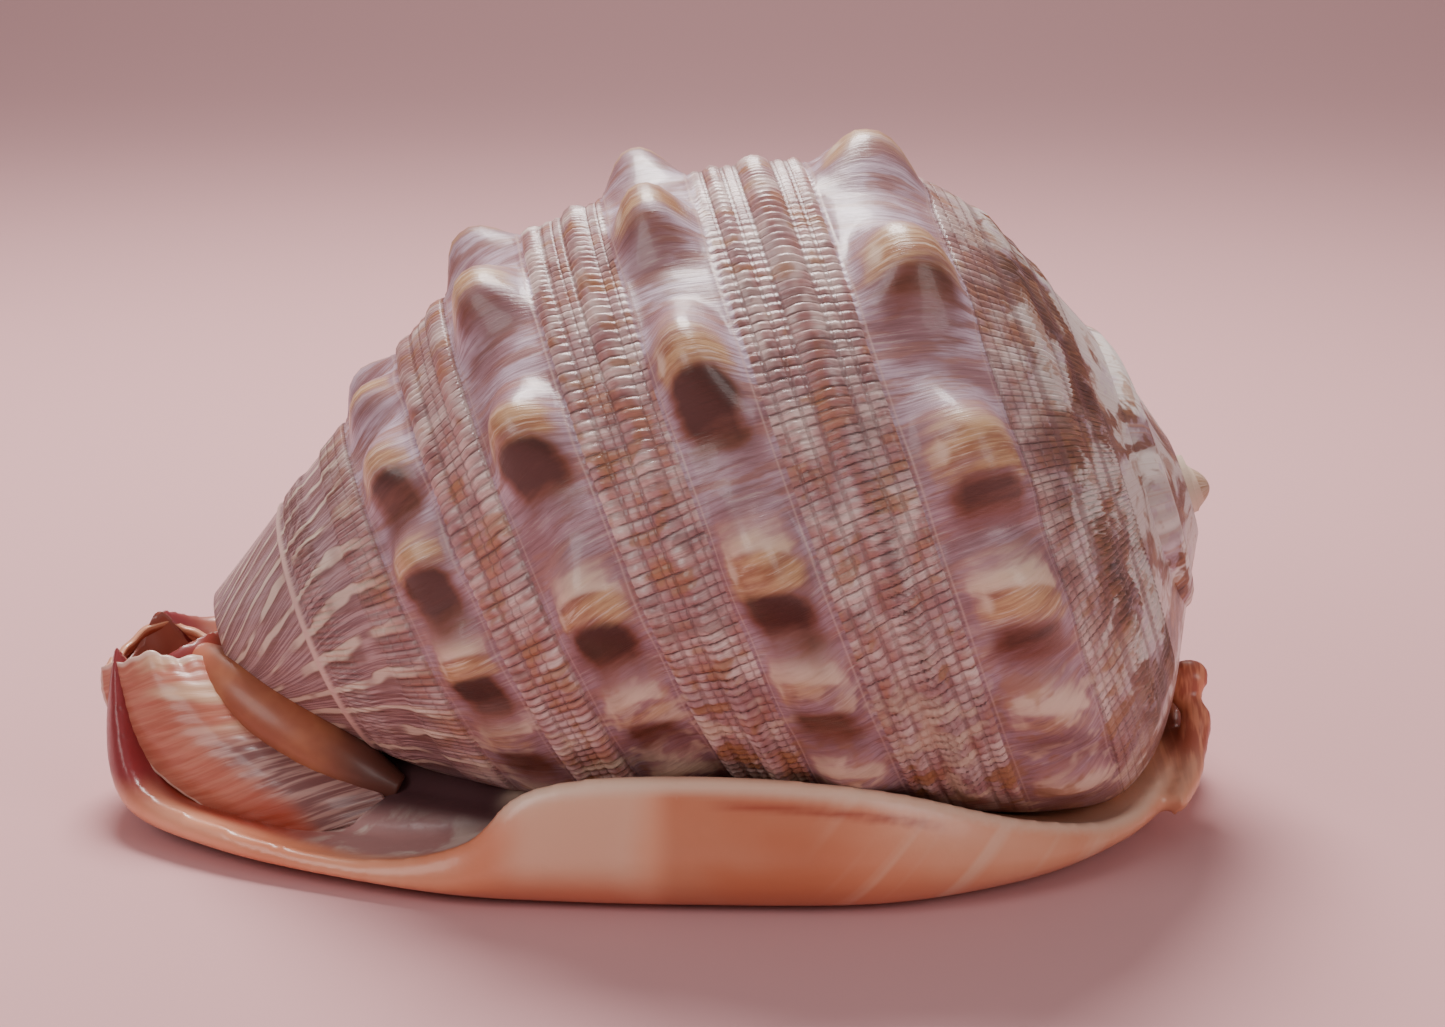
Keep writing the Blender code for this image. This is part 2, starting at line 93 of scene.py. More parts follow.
# %% Sections of the body whorl
WHORL_SECTIONS = np.array((
    (3.0, 8.5, 6.0, 8.0, 9.0),
    (8.0, 23.0, 15.0, 18.0, 22.0),
    (14.0, 35.5, 26.0, 31.0, 36.0),
    (20.0, 46.0, 33.0, 41.0, 46.0),
    (28.0, 53.5, 37.0, 47.5, 52.0),
    (38.0, 58.0, 36.0, 51.0, 55.0),
    (48.0, 60.5, 33.0, 52.5, 56.0),
    (60.0, 61.5, 29.0, 52.5, 55.0),
    (72.0, 61.0, 25.0, 50.5, 52.0),
    (84.0, 59.0, 20.0, 46.5, 48.0),
    (96.0, 53.0, 21.0, 41.5, 42.0),
    (108.0, 44.5, 17.0, 35.0, 35.0),
    (118.0, 38.0, 9.5, 27.5, 28.0),
    (128.0, 31.0, -1.5, 18.5, 20.0),
    (136.0, 25.5, -9.0, 9.5, 12.0),
))


def smooth_rows(table, place):
    """The table's other columns at each place on its first column, on a smooth curve."""
    place = np.atleast_1d(np.asarray(place, float))
    last = len(table) - 1
    index = np.clip(np.searchsorted(table[:, 0], place, side="right") - 1, 0, last - 1)
    before, start, end, after = (table[np.clip(index + step, 0, last)] for step in (-1, 0, 1, 2))
    gap = end[:, :1] - start[:, :1]
    share = (place[:, None] - start[:, :1]) / gap
    first = (end - before) / (end[:, :1] - before[:, :1]) * gap
    second = (after - start) / (after[:, :1] - start[:, :1]) * gap
    square, cube = share**2, share**3
    value = (2 * cube - 3 * square + 1) * start + (3 * square - 2 * cube) * end
    value += (cube - 2 * square + share) * first + (cube - square) * second
    return value[:, 1:]


def ease(share):
    """A smooth step from 0 to 1."""
    share = np.clip(share, 0.0, 1.0)
    return share * share * (3.0 - 2.0 * share)


# %% [markdown]
# As the tube winds on it grows, so a spiral line moves along the axis. Near the front end the rings
# stand square, and just before a turn is complete they swing back to where they began. That closes
# each ring, underneath, where the callus hides it.

# %% Points on the whorl
AXIAL_GROWTH = 1.36
RING_CLOSES_AT = 290.0
FRONT_SQUARES_UP = 0.9
FRONT_STARTS, FRONT_LENGTH = 104.0, 32.0
SOFT_FROM, LOWEST_BODY = 8.0, 1.5


def axial_scale(place, angle):
    """How far along the axis a spiral line has moved at an angle."""
    def open_turn(turn):
        growth = AXIAL_GROWTH ** ((turn - 180.0) / 360.0)
        return 1.0 + (growth - 1.0) * (1.0 - FRONT_SQUARES_UP * ease((place - FRONT_STARTS) / FRONT_LENGTH))

    start = open_turn(np.minimum(angle, RING_CLOSES_AT))
    share = ease((angle - RING_CLOSES_AT) / (360.0 - RING_CLOSES_AT))
    return start + (open_turn(0.0 * angle) - start) * share


def whorl_points(place, angle):
    """Points on the smooth body whorl, one for each place and angle."""
    place, angle = np.asarray(place, float), np.asarray(angle, float)
    top, bottom, near, far = smooth_rows(WHORL_SECTIONS, place).T
    turn = np.radians(angle)
    side = np.where(np.sin(turn) > 0.0, near, far) * np.sin(turn)
    high = (top - bottom) / 2.0 - (top + bottom) / 2.0 * np.cos(turn)
    along = place * axial_scale(place, angle)
    points = APEX + np.outer(along, AXIS) + np.outer(high, RAISED) + np.outer(side, NEAR_SIDE)
    depth = SOFT_FROM - LOWEST_BODY
    low = np.minimum(points[:, 2], SOFT_FROM)
    soft = SOFT_FROM - depth * (1.0 - np.exp((low - SOFT_FROM) / depth))
    points[:, 2] = np.where(points[:, 2] < SOFT_FROM, soft, points[:, 2])
    return points


print("top of the smooth whorl:", whorl_points([60.0], [180.0]).round(1))

# %% [markdown]
# ## Camera, floor and light
#
# The camera looks level along the near side, a little from above, as the photograph does. It comes
# first, so that every later step can be judged against the picture. The floor is one pale sheet that
# curves up behind the shell, and soft area lamps do the work of a light tent.

# %% Camera
CAMERA_TARGET = np.array((9.2, 0.0, 40.7))
CAMERA_ELEVATION = math.radians(15.0)
CAMERA_DISTANCE = 380.0
CAMERA_LENS = 68.2


def add_camera():
    camera = bpy.data.objects.new("camera", bpy.data.cameras.new("camera"))
    bpy.context.scene.collection.objects.link(camera)
    back = Vector((0.0, -math.cos(CAMERA_ELEVATION), math.sin(CAMERA_ELEVATION)))
    right = Vector((1.0, 0.0, 0.0))
    up = back.cross(right)
    place = Vector(to_frame(CAMERA_TARGET)) + back * CAMERA_DISTANCE * MM
    camera.matrix_world = Matrix((
        (right.x, up.x, back.x, place.x),
        (right.y, up.y, back.y, place.y),
        (right.z, up.z, back.z, place.z),
        (0.0, 0.0, 0.0, 1.0),
    ))
    camera.data.lens = CAMERA_LENS
    camera.data.sensor_width = 36.0
    camera.data.clip_start, camera.data.clip_end = 0.01, 20.0
    bpy.context.scene.camera = camera
    return camera


camera = add_camera()
print("camera at", [round(value, 3) for value in camera.location])

# %% [markdown]
# The floor is pale paper. One large lamp hangs over and a little behind the shell, so that the glossy
# knobs catch it on their upper sides and a soft shadow falls towards the camera. Two weaker lamps and
# a pale world fill the shade.

# %% Floor and studio light
FLOOR_COLOUR = (0.64, 0.35, 0.36, 1.0)
WORLD_COLOUR = (1.0, 0.88, 0.87, 1.0)
LAMP_COLOUR = (1.0, 0.94, 0.92)
WORLD_STRENGTH = 0.30
LAMPS = (
    ("overhead", (-0.06, 0.29, 0.56), (0.0, 0.0, 0.04), 0.30, 6.4),
    ("front_left", (-0.60, -0.50, 0.55), (0.0, 0.0, 0.04), 0.50, 2.7),
    ("front_right", (0.60, -0.60, 0.42), (0.0, 0.0, 0.04), 0.50, 2.0),
    ("backdrop", (0.0, 1.3, 0.9), (0.0, 1.3, 0.0), 1.0, 3.8),
)


def plain_material(name, colour, roughness):
    material = bpy.data.materials.new(name)
    material.use_nodes = True
    shader = material.node_tree.nodes["Principled BSDF"]
    shader.inputs["Base Color"].default_value = colour
    shader.inputs["Roughness"].default_value = roughness
    return material


def deselect():
    bpy.ops.object.select_all(action="DESELECT")


def add_floor():
    """A pale sheet that lies flat under the shell and sweeps up behind it."""
    deselect()
    bpy.ops.mesh.primitive_grid_add(x_subdivisions=2, y_subdivisions=48, size=6.0)
    floor = bpy.context.object
    floor.name = "floor"
    for vertex in floor.data.vertices:
        back = max(0.0, vertex.co.y - 0.8)
        vertex.co.z = 0.35 * back * back
    bpy.ops.object.shade_smooth()
    floor.data.materials.append(plain_material("studio_paper", FLOOR_COLOUR, 0.85))


def add_lamp(name, place, target, size, power):
    lamp = bpy.data.objects.new(name, bpy.data.lights.new(name, "AREA"))
    bpy.context.scene.collection.objects.link(lamp)
    lamp.data.shape = "DISK"
    lamp.data.size = size
    lamp.data.energy = power
    lamp.data.color = LAMP_COLOUR
    lamp.location = place
    lamp.rotation_euler = (Vector(target) - Vector(place)).to_track_quat("-Z", "Y").to_euler()


add_floor()
for lamp in LAMPS:
    add_lamp(*lamp)
world = bpy.data.worlds.new("studio")
world.use_nodes = True
world.node_tree.nodes["Background"].inputs["Color"].default_value = WORLD_COLOUR
world.node_tree.nodes["Background"].inputs["Strength"].default_value = WORLD_STRENGTH
bpy.context.scene.world = world
print(len(LAMPS), "lamps and a sweep of paper")

# %% [markdown]
# ## Helpers for skins
#
# Each part starts as a grid primitive. Its points are then moved onto the shell's coordinates, its
# open edges are closed, and its faces are turned outwards.

# %% A grid bent onto a shape
def vertex_array(thing):
    found = np.empty(len(thing.data.vertices) * 3, np.float32)
    thing.data.vertices.foreach_get("co", found)
    return found.reshape(-1, 3).astype(float)


def set_vertices(thing, points):
    thing.data.vertices.foreach_set("co", np.asarray(points, np.float32).ravel())
    thing.data.update()


def set_value(thing, name, values):
    """A number for each vertex, which the material can read by its name."""
    layer = thing.data.attributes.get(name) or thing.data.attributes.new(name, "FLOAT", "POINT")
    layer.data.foreach_set("value", np.asarray(values, np.float32).ravel())


def edit(thing, *steps):
    """Runs edit-mode operators on everything in one object."""
    deselect()
    thing.select_set(True)
    bpy.context.view_layer.objects.active = thing
    bpy.ops.object.mode_set(mode="EDIT")
    bpy.ops.mesh.select_all(action="SELECT")
    for step in steps:
        step()
    bpy.ops.object.mode_set(mode="OBJECT")


def skin(name, points):
    """A skin over a (rows, columns, 3) array of points, made from a grid primitive; it is left open."""
    rows, columns = points.shape[:2]
    deselect()
    bpy.ops.mesh.primitive_grid_add(x_subdivisions=columns - 1, y_subdivisions=rows - 1, size=1.0)
    thing = bpy.context.object
    thing.name = name
    set_vertices(thing, to_frame(points.reshape(-1, 3)))
    return thing


def close_ends(thing):
    """Merges the seam of a rolled-up grid and puts a lid on each open end."""
    edit(
        thing,
        lambda: bpy.ops.mesh.remove_doubles(threshold=0.00002),
        lambda: bpy.ops.mesh.select_all(action="DESELECT"),
        lambda: bpy.ops.mesh.select_non_manifold(extend=False),
        lambda: bpy.ops.mesh.edge_face_add(),
        lambda: bpy.ops.mesh.select_all(action="SELECT"),
        lambda: bpy.ops.mesh.normals_make_consistent(inside=False),
    )


def apply_modifiers(thing):
    deselect()
    thing.select_set(True)
    bpy.context.view_layer.objects.active = thing
    for modifier in list(thing.modifiers):
        bpy.ops.object.modifier_apply(modifier=modifier.name)


def boolean(thing, tool, operation="DIFFERENCE"):
    step = thing.modifiers.new(operation.lower(), "BOOLEAN")
    step.operation = operation
    step.solver = "MANIFOLD"
    step.object = tool
    apply_modifiers(thing)


# %% [markdown]
# ## The relief of the body whorl
#
# Four rows of knobs stand on smooth strips. Between them lie cords of different widths, which fine
# ribs cross, so that they look like strings of beads. The rows and cords are lines of equal place.
# The ribs are growth lines: they lean on the near side, where the lip grew at an uneven rate. One
# table holds the knob rows and one the cords, so the same numbers shape the mesh and colour it.

# %% Knob rows, cords and threads
# Knob row: place, half width of its strip, height, brow of the knob nearest the camera, step between
# knobs above it, length of the dark patch under each brow (brown pigment with painted shade), depth of
# that patch's colour
KNOB_ROWS = (
    (32.8, 6.4, 5.2, 110.5, 32.0, 11.0, 0.8),
    (61.8, 5.6, 5.2, 97.0, 31.6, 15.5, 1.0),
    (85.6, 5.5, 4.6, 93.5, 32.3, 15.0, 1.0),
    (105.6, 4.4, 2.8, 94.0, 24.6, 19.0, 0.95),
)
KNOB_STEP_BELOW = 22.0
KNOBS_BELOW, KNOBS_ABOVE = 3, 6

# Cord: place, half width, height
CORDS = (
    (54.6, 0.8, 0.65), (52.3, 1.2, 1.0), (50.1, 0.7, 0.65), (46.7, 2.3, 1.55), (43.3, 0.75, 0.7),
    (41.2, 1.0, 0.85),
    (78.2, 1.3, 1.0), (75.8, 0.65, 0.6), (74.4, 0.55, 0.6), (71.9, 1.7, 1.4), (69.4, 0.6, 0.65),
    (68.1, 0.5, 0.5),
    (99.5, 1.3, 0.95), (97.3, 0.6, 0.55), (96.0, 0.55, 0.55), (93.9, 1.4, 1.0),
    (25.4, 0.55, 0.5), (24.1, 0.55, 0.5), (22.8, 0.55, 0.5), (21.5, 0.55, 0.5), (18.9, 1.5, 0.9),
    (16.4, 0.8, 0.6), (14.3, 1.0, 0.65),
    (111.8, 0.7, 0.5), (113.2, 0.55, 0.4), (114.6, 0.6, 0.4), (120.1, 0.6, 0.4), (121.5, 0.5, 0.35),
)
# Thread: place, half width, height
THREADS = (
    (26.6, 0.3, 0.12), (39.7, 0.35, 0.15), (55.9, 0.35, 0.15), (67.2, 0.3, 0.15), (80.0, 0.35, 0.15),
    (91.7, 0.3, 0.12), (101.3, 0.35, 0.12), (110.4, 0.3, 0.1), (123.3, 0.6, 0.35),
)
RIB_PITCH = 1.72
LEAN_PLACE, LEAN_BEHIND, LEAN_AHEAD, LEAN_REACH = 58.0, 0.6, 0.38, 30.0
LEAN_FULL, LEAN_GONE = 80.0, 142.0


def growth_of(place, angle):
    """The growth stage, in degrees, of a point: equal all along one growth line."""
    behind = LEAN_BEHIND * np.maximum(LEAN_PLACE - place, 0.0)
    ahead = LEAN_AHEAD * np.minimum(np.maximum(place - LEAN_PLACE, 0.0), LEAN_REACH)
    return angle - (behind - ahead) * (1.0 - ease((angle - LEAN_FULL) / (LEAN_GONE - LEAN_FULL)))


def knob_brows(pivot, step_above):
    """Angles of all the knobs in a row."""
    below = [pivot - KNOB_STEP_BELOW * step for step in range(KNOBS_BELOW, 0, -1)]
    return below + [pivot + step_above * step for step in range(KNOBS_ABOVE)]


def wave(place, angle, seed):
    """Smooth, uneven numbers from -1 to 1, from sines with unrelated lengths."""
    first = np.sin(angle * 0.21 + seed + 1.7 * np.sin(place * 0.13 + seed))
    second = np.sin(angle * 0.083 - place * 0.19 + 2.0 * seed)
    third = np.sin(angle * 0.47 + place * 0.31 + 3.0 * seed)
    return (first + second + 0.6 * third) / 2.6


print("knobs:", [len(knob_brows(row[3], row[4])) for row in KNOB_ROWS], "cords:", len(CORDS))

# %% [markdown]
# Each knob is a blunt rounded square. Going down the near side, the surface swells slowly to the
# knob's brow and then drops quickly. The brow is an arch, lower at its two sides. The same arch
# places the colours: cream above it, gold on it and, below it, dark brown pigment with painted shade,
# where the steep lower face faces down, away from the light.

# %% Height and colour marks of the knobs
KNOB_RISE, KNOB_FALL, KNOB_SPREAD = 13.5, 12.5, 1.3
KNOB_CORNERS = 2.5
ARCH_DROP, ARCH_POWER = 3.4, 2.6
SHOULDER = 0.9
LOW_KNOBS = (60.0, 118.0, 0.42)
HIGH_KNOBS = (128.0, 172.0, 0.22)


def knob_marks(place, angle):
    """Height of the knobs, and how strongly each point has each of their three colours: the dark one is
    brown pigment with painted shade.
    """
    height, gold, dark_and_shade, cream = (np.zeros_like(place) for _ in range(4))
    for middle, half, tall, pivot, step_above, patch, depth in KNOB_ROWS:
        sideways = (place - middle) / half
        across = np.abs(sideways)
        inside = 1.0 - ease((across - 0.72) / 0.34)
        height += SHOULDER * tall / 6.2 * (1.0 - ease(across / 1.2)) * ease((angle - 60.0) / 40.0)
        for number, brow in enumerate(knob_brows(pivot, step_above)):
            uneven = 0.9 * wave(place, angle, brow)
            ahead = angle - brow + ARCH_DROP * across**ARCH_POWER + uneven
            low_from, low_to, low_share = LOW_KNOBS
            fade = low_share + (1.0 - low_share) * ease((brow - low_from) / (low_to - low_from))
            high_from, high_to, high_share = HIGH_KNOBS
            deep = depth * (1.0 - (1.0 - high_share) * ease((brow - high_from) / (high_to - high_from)))
            length = np.where(ahead > 0.0, KNOB_RISE, KNOB_FALL)
            away = (across / KNOB_SPREAD) ** KNOB_CORNERS + np.abs(ahead / length) ** KNOB_CORNERS
            away = away ** (1.0 / KNOB_CORNERS)
            height += tall * fade * (1.0 - ease((away - 0.1) / 0.9))
            on_brow = np.exp(-((ahead + 0.3) / np.where(ahead > -0.3, 5.2,
                3.2)) ** 2) * (1.0 - ease((across - 0.66) / 0.44))
            left = ease((sideways - 0.3) / 0.4) * np.exp(-((ahead - 1.2) / 2.8) ** 2) * inside
            # The dark patch under each brow: brown pigment, with painted shade on the knob's steep lower
            # face
            under = ease((-ahead - 0.4) / 4.6) * (1.0 - ease((-ahead - 0.2 * patch) / (1.25 * patch)))
            above = ease((ahead - 1.0) / 2.4) * (1.0 - ease((ahead - 2.0) / 11.0)) * inside
            low_side = ease((brow - 62.0) / 34.0)
            gold = np.maximum(gold, on_brow * (0.45 + 0.55 * low_side))
            dark_and_shade = np.maximum(dark_and_shade,
                deep * (0.5 + 0.5 * low_side) * under * (1.0 - ease((across - 0.42) / 0.6)))
            pale_share = 0.50 + 0.5 * (1.0 - ease((brow - 84.0) / 34.0))
            cream = np.maximum(cream, np.maximum(pale_share * above, 0.75 * left))
    return height, gold, dark_and_shade, cream


# %% [markdown]
# A cord is a round bar lengthways. The ribs cut it into beads: the rib's phase counts them, with a
# gap at each whole number. The phase is kept as an attribute, so that the material can paint shade
# into each gap with a line much finer than the mesh.

# %% Beaded cords
BEAD_DEPTH = 0.75
GROOVE_RIB = 0.40
CORDED = (
    (13.2, 26.3), (40.1, 55.5), (67.5, 79.6), (92.1, 100.9), (110.9, 115.3), (119.4, 122.1),
)


def rib_phase(place, angle):
    growth = growth_of(place, angle)
    return growth / RIB_PITCH + 0.3 * wave(place, growth, 1.0)


def bars(place, table):
    """How high each point stands on the bars of a table, and their cross-section from 0 to 1."""
    height, section = np.zeros_like(place), np.zeros_like(place)
    for middle, half, tall in table:
        across = np.clip(np.abs(place - middle) / half, 0.0, 1.0)
        round_bar = (1.0 - across**2) ** 0.6
        height = np.maximum(height, tall * round_bar)
        section = np.maximum(section, round_bar)
    return height, section


def corded(place):
    """1 in the bands of cords, 0 on the strips between them."""
    return np.max([(place > low) & (place < high) for low, high in CORDED], axis=0).astype(float)


def cord_relief(place, angle):
    """Height of the cords with the beads that the ribs make on them, and of the threads."""
    beads = np.abs(np.sin(math.pi * rib_phase(place, angle)))
    cords, section = bars(place, CORDS)
    threads, _ = bars(place, THREADS)
    beaded = np.maximum(cords, GROOVE_RIB * corded(place)) * (1.0 - BEAD_DEPTH + BEAD_DEPTH * beads)
    return beaded + threads, section, threads / THREADS[-1][2]


# %% [markdown]
# The grid has rows just where a cord has its crest, its flanks and its feet, and few on the smooth
# strips. It has more columns on the side that shows than behind and underneath. That puts the
# triangles where the eye looks.

# %% Rows and columns of the whorl's grid
def spaced(stops):
    """Numbers that run through stops of (from, to, spacing)."""
    found = []
    for start, end, spacing in stops:
        count = max(1, round((end - start) / spacing))
        found += [start + (end - start) * step / count for step in range(count)]
    return np.array(found + [stops[-1][1]])


def whorl_places():
    """Places of the grid's rows, closest where the cords are."""
    found = list(spaced(((3.0, 13.0, 1.2), (13.0, 136.0, 1.25))))
    for middle, half, _ in CORDS + THREADS:
        found = [place for place in found if abs(place - middle) > half + 0.25]
        shares = (-1.0, -0.62, 0.0, 0.62, 1.0) if half > 0.9 else (-1.0, 0.0, 1.0)
        if half > 2.0:
            shares = (-1.0, -0.75, -0.4, 0.0, 0.4, 0.75, 1.0)
        found += [middle + half * share for share in shares]
    found.sort()
    kept = found[:1]
    for place in found[1:]:
        if place - kept[-1] > 0.17:
            kept.append(place)
    return np.array(kept)


COARSE = 1.0
WHORL_PLACES = whorl_places()
WHORL_ANGLES = spaced((
    (0.0, 44.0, 4.0), (44.0, 196.0, 0.41), (196.0, 300.0, 0.62), (300.0, 360.0, 4.0),
))
print("whorl grid:", len(WHORL_PLACES), "rows and", len(WHORL_ANGLES), "columns")

# %% [markdown]
# The relief is added along the surface's own normals, and fades out where the callus covers it. Every
# number that the material needs later is stored on the vertices at the same time.

# %% The body whorl
SHOWN_FROM, SHOWN_TO = (40.0, 50.0), (292.0, 306.0)


def surface_normals(points):
    """Unit normals of a (rows, columns, 3) surface."""
    along = np.gradient(points, axis=0)
    around = np.gradient(points, axis=1)
    normal = np.cross(along, around)
    return normal / np.maximum(np.linalg.norm(normal, axis=2, keepdims=True), 1e-9)


def stretch(value, limits):
    return ease((value - limits[0]) / (limits[1] - limits[0]))


def make_whorl():
    place, angle = np.meshgrid(WHORL_PLACES, WHORL_ANGLES, indexing="ij")
    shape = place.shape
    place, angle = place.ravel(), angle.ravel()
    base = whorl_points(place, angle).reshape(shape + (3,))
    normal = surface_normals(base)
    middle = base.mean(axis=1, keepdims=True)
    outwards = np.sign(np.median(np.sum(normal * (base - middle), axis=2)))
    shown = stretch(angle, SHOWN_FROM) * (1.0 - stretch(angle, SHOWN_TO))
    knobs, gold, dark_and_shade, cream = knob_marks(place, angle)
    cords, section, thread = cord_relief(place, angle)
    height = (shown * (knobs + cords)).reshape(shape)
    whorl = skin("body_whorl", base + normal * outwards * height[:, :, None])
    values = {
        "place": place, "growth": growth_of(place, angle), "angle": angle,
        "phase": rib_phase(place, angle), "gold": gold, "dark_and_shade": dark_and_shade, "cream": cream,
        "cord": section, "thread": thread, "corded": corded(place), "outside": np.ones_like(place),
    }
    for name, numbers in values.items():
        set_value(whorl, name, numbers)
    close_ends(whorl)
    return whorl


whorl = make_whorl()
print("body whorl:", len(whorl.data.polygons), "faces")

# %% [markdown]
# ## The mouth, the hollow and the canal
#
# Three closed shapes are cut out of the shell: the hollow of the last turn, the long mouth slot under
# it and the front canal. They follow the CAD solid's own openings. A Boolean in its manifold mode
# keeps the attributes of the skin and gives 0 to the new faces, so the material can tell them apart.

# %% Cutters
FLOOR = 7.0
HOLLOW_STEPS, HOLLOW_SIDES = 60, 40
HOLLOW_FROM, HOLLOW_TURNS, HOLLOW_THIN = 62.0, 290.0, 0.35
HOLLOW_MIDDLE, HOLLOW_REACH, SQUARENESS, CORE_SHARE = 63.0, 42.0, 0.75, 0.25
# The wall's thickness is a share of the whorl's radius, which is smaller in the last stretch
WALL, WALL_RADIUS, LAST_WALL_RADIUS, LAST_STRETCH_FROM = 4.5, 52.0, 30.0, 300.0
SLOT = np.array((
    (-60.0, 4.5, 4.5), (-45.0, 8.5, 5.0), (-20.0, 13.5, 5.5), (10.0, 15.5, 5.5), (35.0, 14.5, 5.0),
    (47.0, 13.0, 3.5),
))
SLOT_TOP = 15.0


def signed_power(value, power):
    return np.sign(value) * np.abs(value) ** power


def hollow_share(place, angle, share):
    """Points at a share of the way from the whorl's own middle line to its skin."""
    top, bottom, near, far = smooth_rows(WHORL_SECTIONS, place).T
    turn = np.radians(angle)
    side = share * np.where(np.sin(turn) > 0.0, near, far) * np.sin(turn)
    high = (top - bottom) / 2.0 - share * (top + bottom) / 2.0 * np.cos(turn)
    along = place * axial_scale(place, angle)
    return APEX + np.outer(along, AXIS) + np.outer(high, RAISED) + np.outer(side, NEAR_SIDE)


def make_hollow():
    """The room of the last turn, which is thin where it begins and where it meets the slot."""
    rows = []
    for share in np.linspace(0.0, 1.0, HOLLOW_STEPS + 1):
        angle = HOLLOW_FROM + HOLLOW_TURNS * share
        swell = HOLLOW_THIN + (1.0 - HOLLOW_THIN) * math.sin(0.5 * math.pi * min(1.0, 4.0 * share))
        if share > 0.9:
            swell *= 0.55 + 4.5 * (1.0 - share)
        turn = 2.0 * math.pi * np.arange(HOLLOW_SIDES + 1) / HOLLOW_SIDES
        place = HOLLOW_MIDDLE + HOLLOW_REACH * swell * signed_power(np.cos(turn), SQUARENESS)
        outer = 1.0 - WALL / (LAST_WALL_RADIUS if angle > LAST_STRETCH_FROM else WALL_RADIUS)
        middle = (CORE_SHARE + outer) / 2.0
        depth = middle + (outer - middle) * swell * signed_power(np.sin(turn), SQUARENESS)
        points = hollow_share(place, np.full_like(place, angle), depth)
        points[:, 2] = np.maximum(points[:, 2], FLOOR)
        rows.append(points)
    hollow = skin("hollow", np.array(rows))
    close_ends(hollow)
    return hollow


def make_slot():
    rows = []
    for x in np.linspace(47.0, -60.0, 60):
        middle, half = smooth_rows(SLOT, x)[0]
        top = SLOT_TOP if x > -45.0 else SLOT_TOP - 3.0
        rows.append([
            (x, middle - half - 1.5, -1.0), (x, middle + half + 1.5, -1.0), (x, middle + half, 2.0),
            (x, middle + half, top), (x, middle - half, top), (x, middle - half, 2.0),
            (x, middle - half - 1.5, -1.0),
        ])
    slot = skin("slot", np.array(rows))
    close_ends(slot)
    return slot


def smooth_path(stops, steps):
    """Rows of numbers on a smooth curve through evenly counted stops."""
    stops = np.asarray(stops, float)
    table = np.column_stack((np.arange(len(stops)), stops))
    return smooth_rows(table, np.linspace(0, len(stops) - 1, steps))


def make_tube(name, stops, sides, steps, lowest=0.0):
    """A tube of changing radius through stops of (x, y, z, radius), flat at its lowest."""
    path = smooth_path(stops, steps)
    ahead = np.gradient(path[:, :3], axis=0)
    ahead /= np.linalg.norm(ahead, axis=1, keepdims=True)
    across = np.cross(ahead, (0.0, 0.0, 1.0))
    across /= np.linalg.norm(across, axis=1, keepdims=True)
    over = np.cross(across, ahead)
    turn = 2.0 * math.pi * np.arange(sides + 1) / sides
    ring = across[:, None] * np.cos(turn)[None, :, None] + over[:, None] * np.sin(turn)[None, :, None]
    points = path[:, None, :3] + ring * path[:, None, 3:]
    points[:, :, 2] = np.maximum(points[:, :, 2], lowest)
    tube = skin(name, points)
    close_ends(tube)
    return tube


CANAL = (
    (-48.0, 7.5, 6.0, 4.5), (-58.0, 4.5, 9.0, 5.0), (-65.0, 2.0, 15.0, 6.0), (-69.5, 0.5, 23.0, 7.5),
    (-72.5, -0.5, 33.0, 9.0),
)
HORN = (
    (-36.0, -13.0, 7.0, 3.0), (-44.0, -11.5, 8.0, 5.0), (-51.0, -9.0, 9.5, 7.0),
    (-58.0, -5.5, 11.0, 8.5), (-64.5, -2.0, 14.0, 9.0), (-68.5, 0.0, 17.5, 9.0),
)
cutters = [make_hollow(), make_slot(), make_tube("canal", CANAL, 40, 40)]
print("cutters:", [len(cutter.data.polygons) for cutter in cutters])

# %% [markdown]
# ## Callus, lip and horn
#
# The callus is a saucer of smooth shell that the animal laid over the underside. Its outline is a
# loop of 21 points, each with the rim's height, width and lift. The horn of the front canal and the
# ridge over it are tubes. All three are melted together by a voxel remesh and a smooth, because in
# the real shell they flow into each other with no edge.

# %% Callus
MARGIN = (
    (-76.0, -6.0, 21.5, 3.0, 3.5), (-71.5, -19.0, 8.5, 3.0, 2.0), (-57.0, -30.0, 5.5, 3.0, 1.0),
    (-39.0, -38.5, 4.5, 4.0, 0.6), (-25.0, -43.5, 8.0, 5.5, 0.0), (-15.0, -45.5, 15.5, 6.5, 0.0),
    (5.0, -47.0, 17.5, 7.0, 0.0), (30.0, -46.5, 15.5, 7.0, 0.0), (50.0, -39.0, 9.5, 5.5, 0.8),
    (63.0, -28.0, 6.0, 4.0, 2.0), (70.5, -16.0, 8.5, 3.0, 2.5), (74.0, -5.0, 11.0, 3.0, 3.5),
    (76.5, 9.0, 14.5, 7.0, 3.5), (67.0, 28.0, 16.0, 12.0, 1.5), (50.0, 45.0, 17.0, 14.0, 0.6),
    (25.0, 57.0, 17.5, 14.0, 0.0), (-5.0, 60.0, 17.0, 14.0, 0.0), (-32.0, 54.0, 16.0, 13.0, 0.0),
    (-52.0, 40.0, 15.0, 11.0, 0.6), (-65.0, 23.0, 17.0, 8.0, 2.0), (-73.5, 8.0, 22.5, 4.0, 3.5),
)
MARGIN_STEPS = 20
BOWL_DIP = 9.0
BACK_RISE = 11.0


def closed_curve(stops, steps):
    """A smooth closed loop through stops, with a number of points for each."""
    stops = np.asarray(stops, float)
    count = len(stops)
    wrapped = np.vstack((stops[-2:], stops, stops[:3]))
    table = np.column_stack((np.arange(-2, count + 3), wrapped))
    return smooth_rows(table, np.arange(count * steps) / steps)


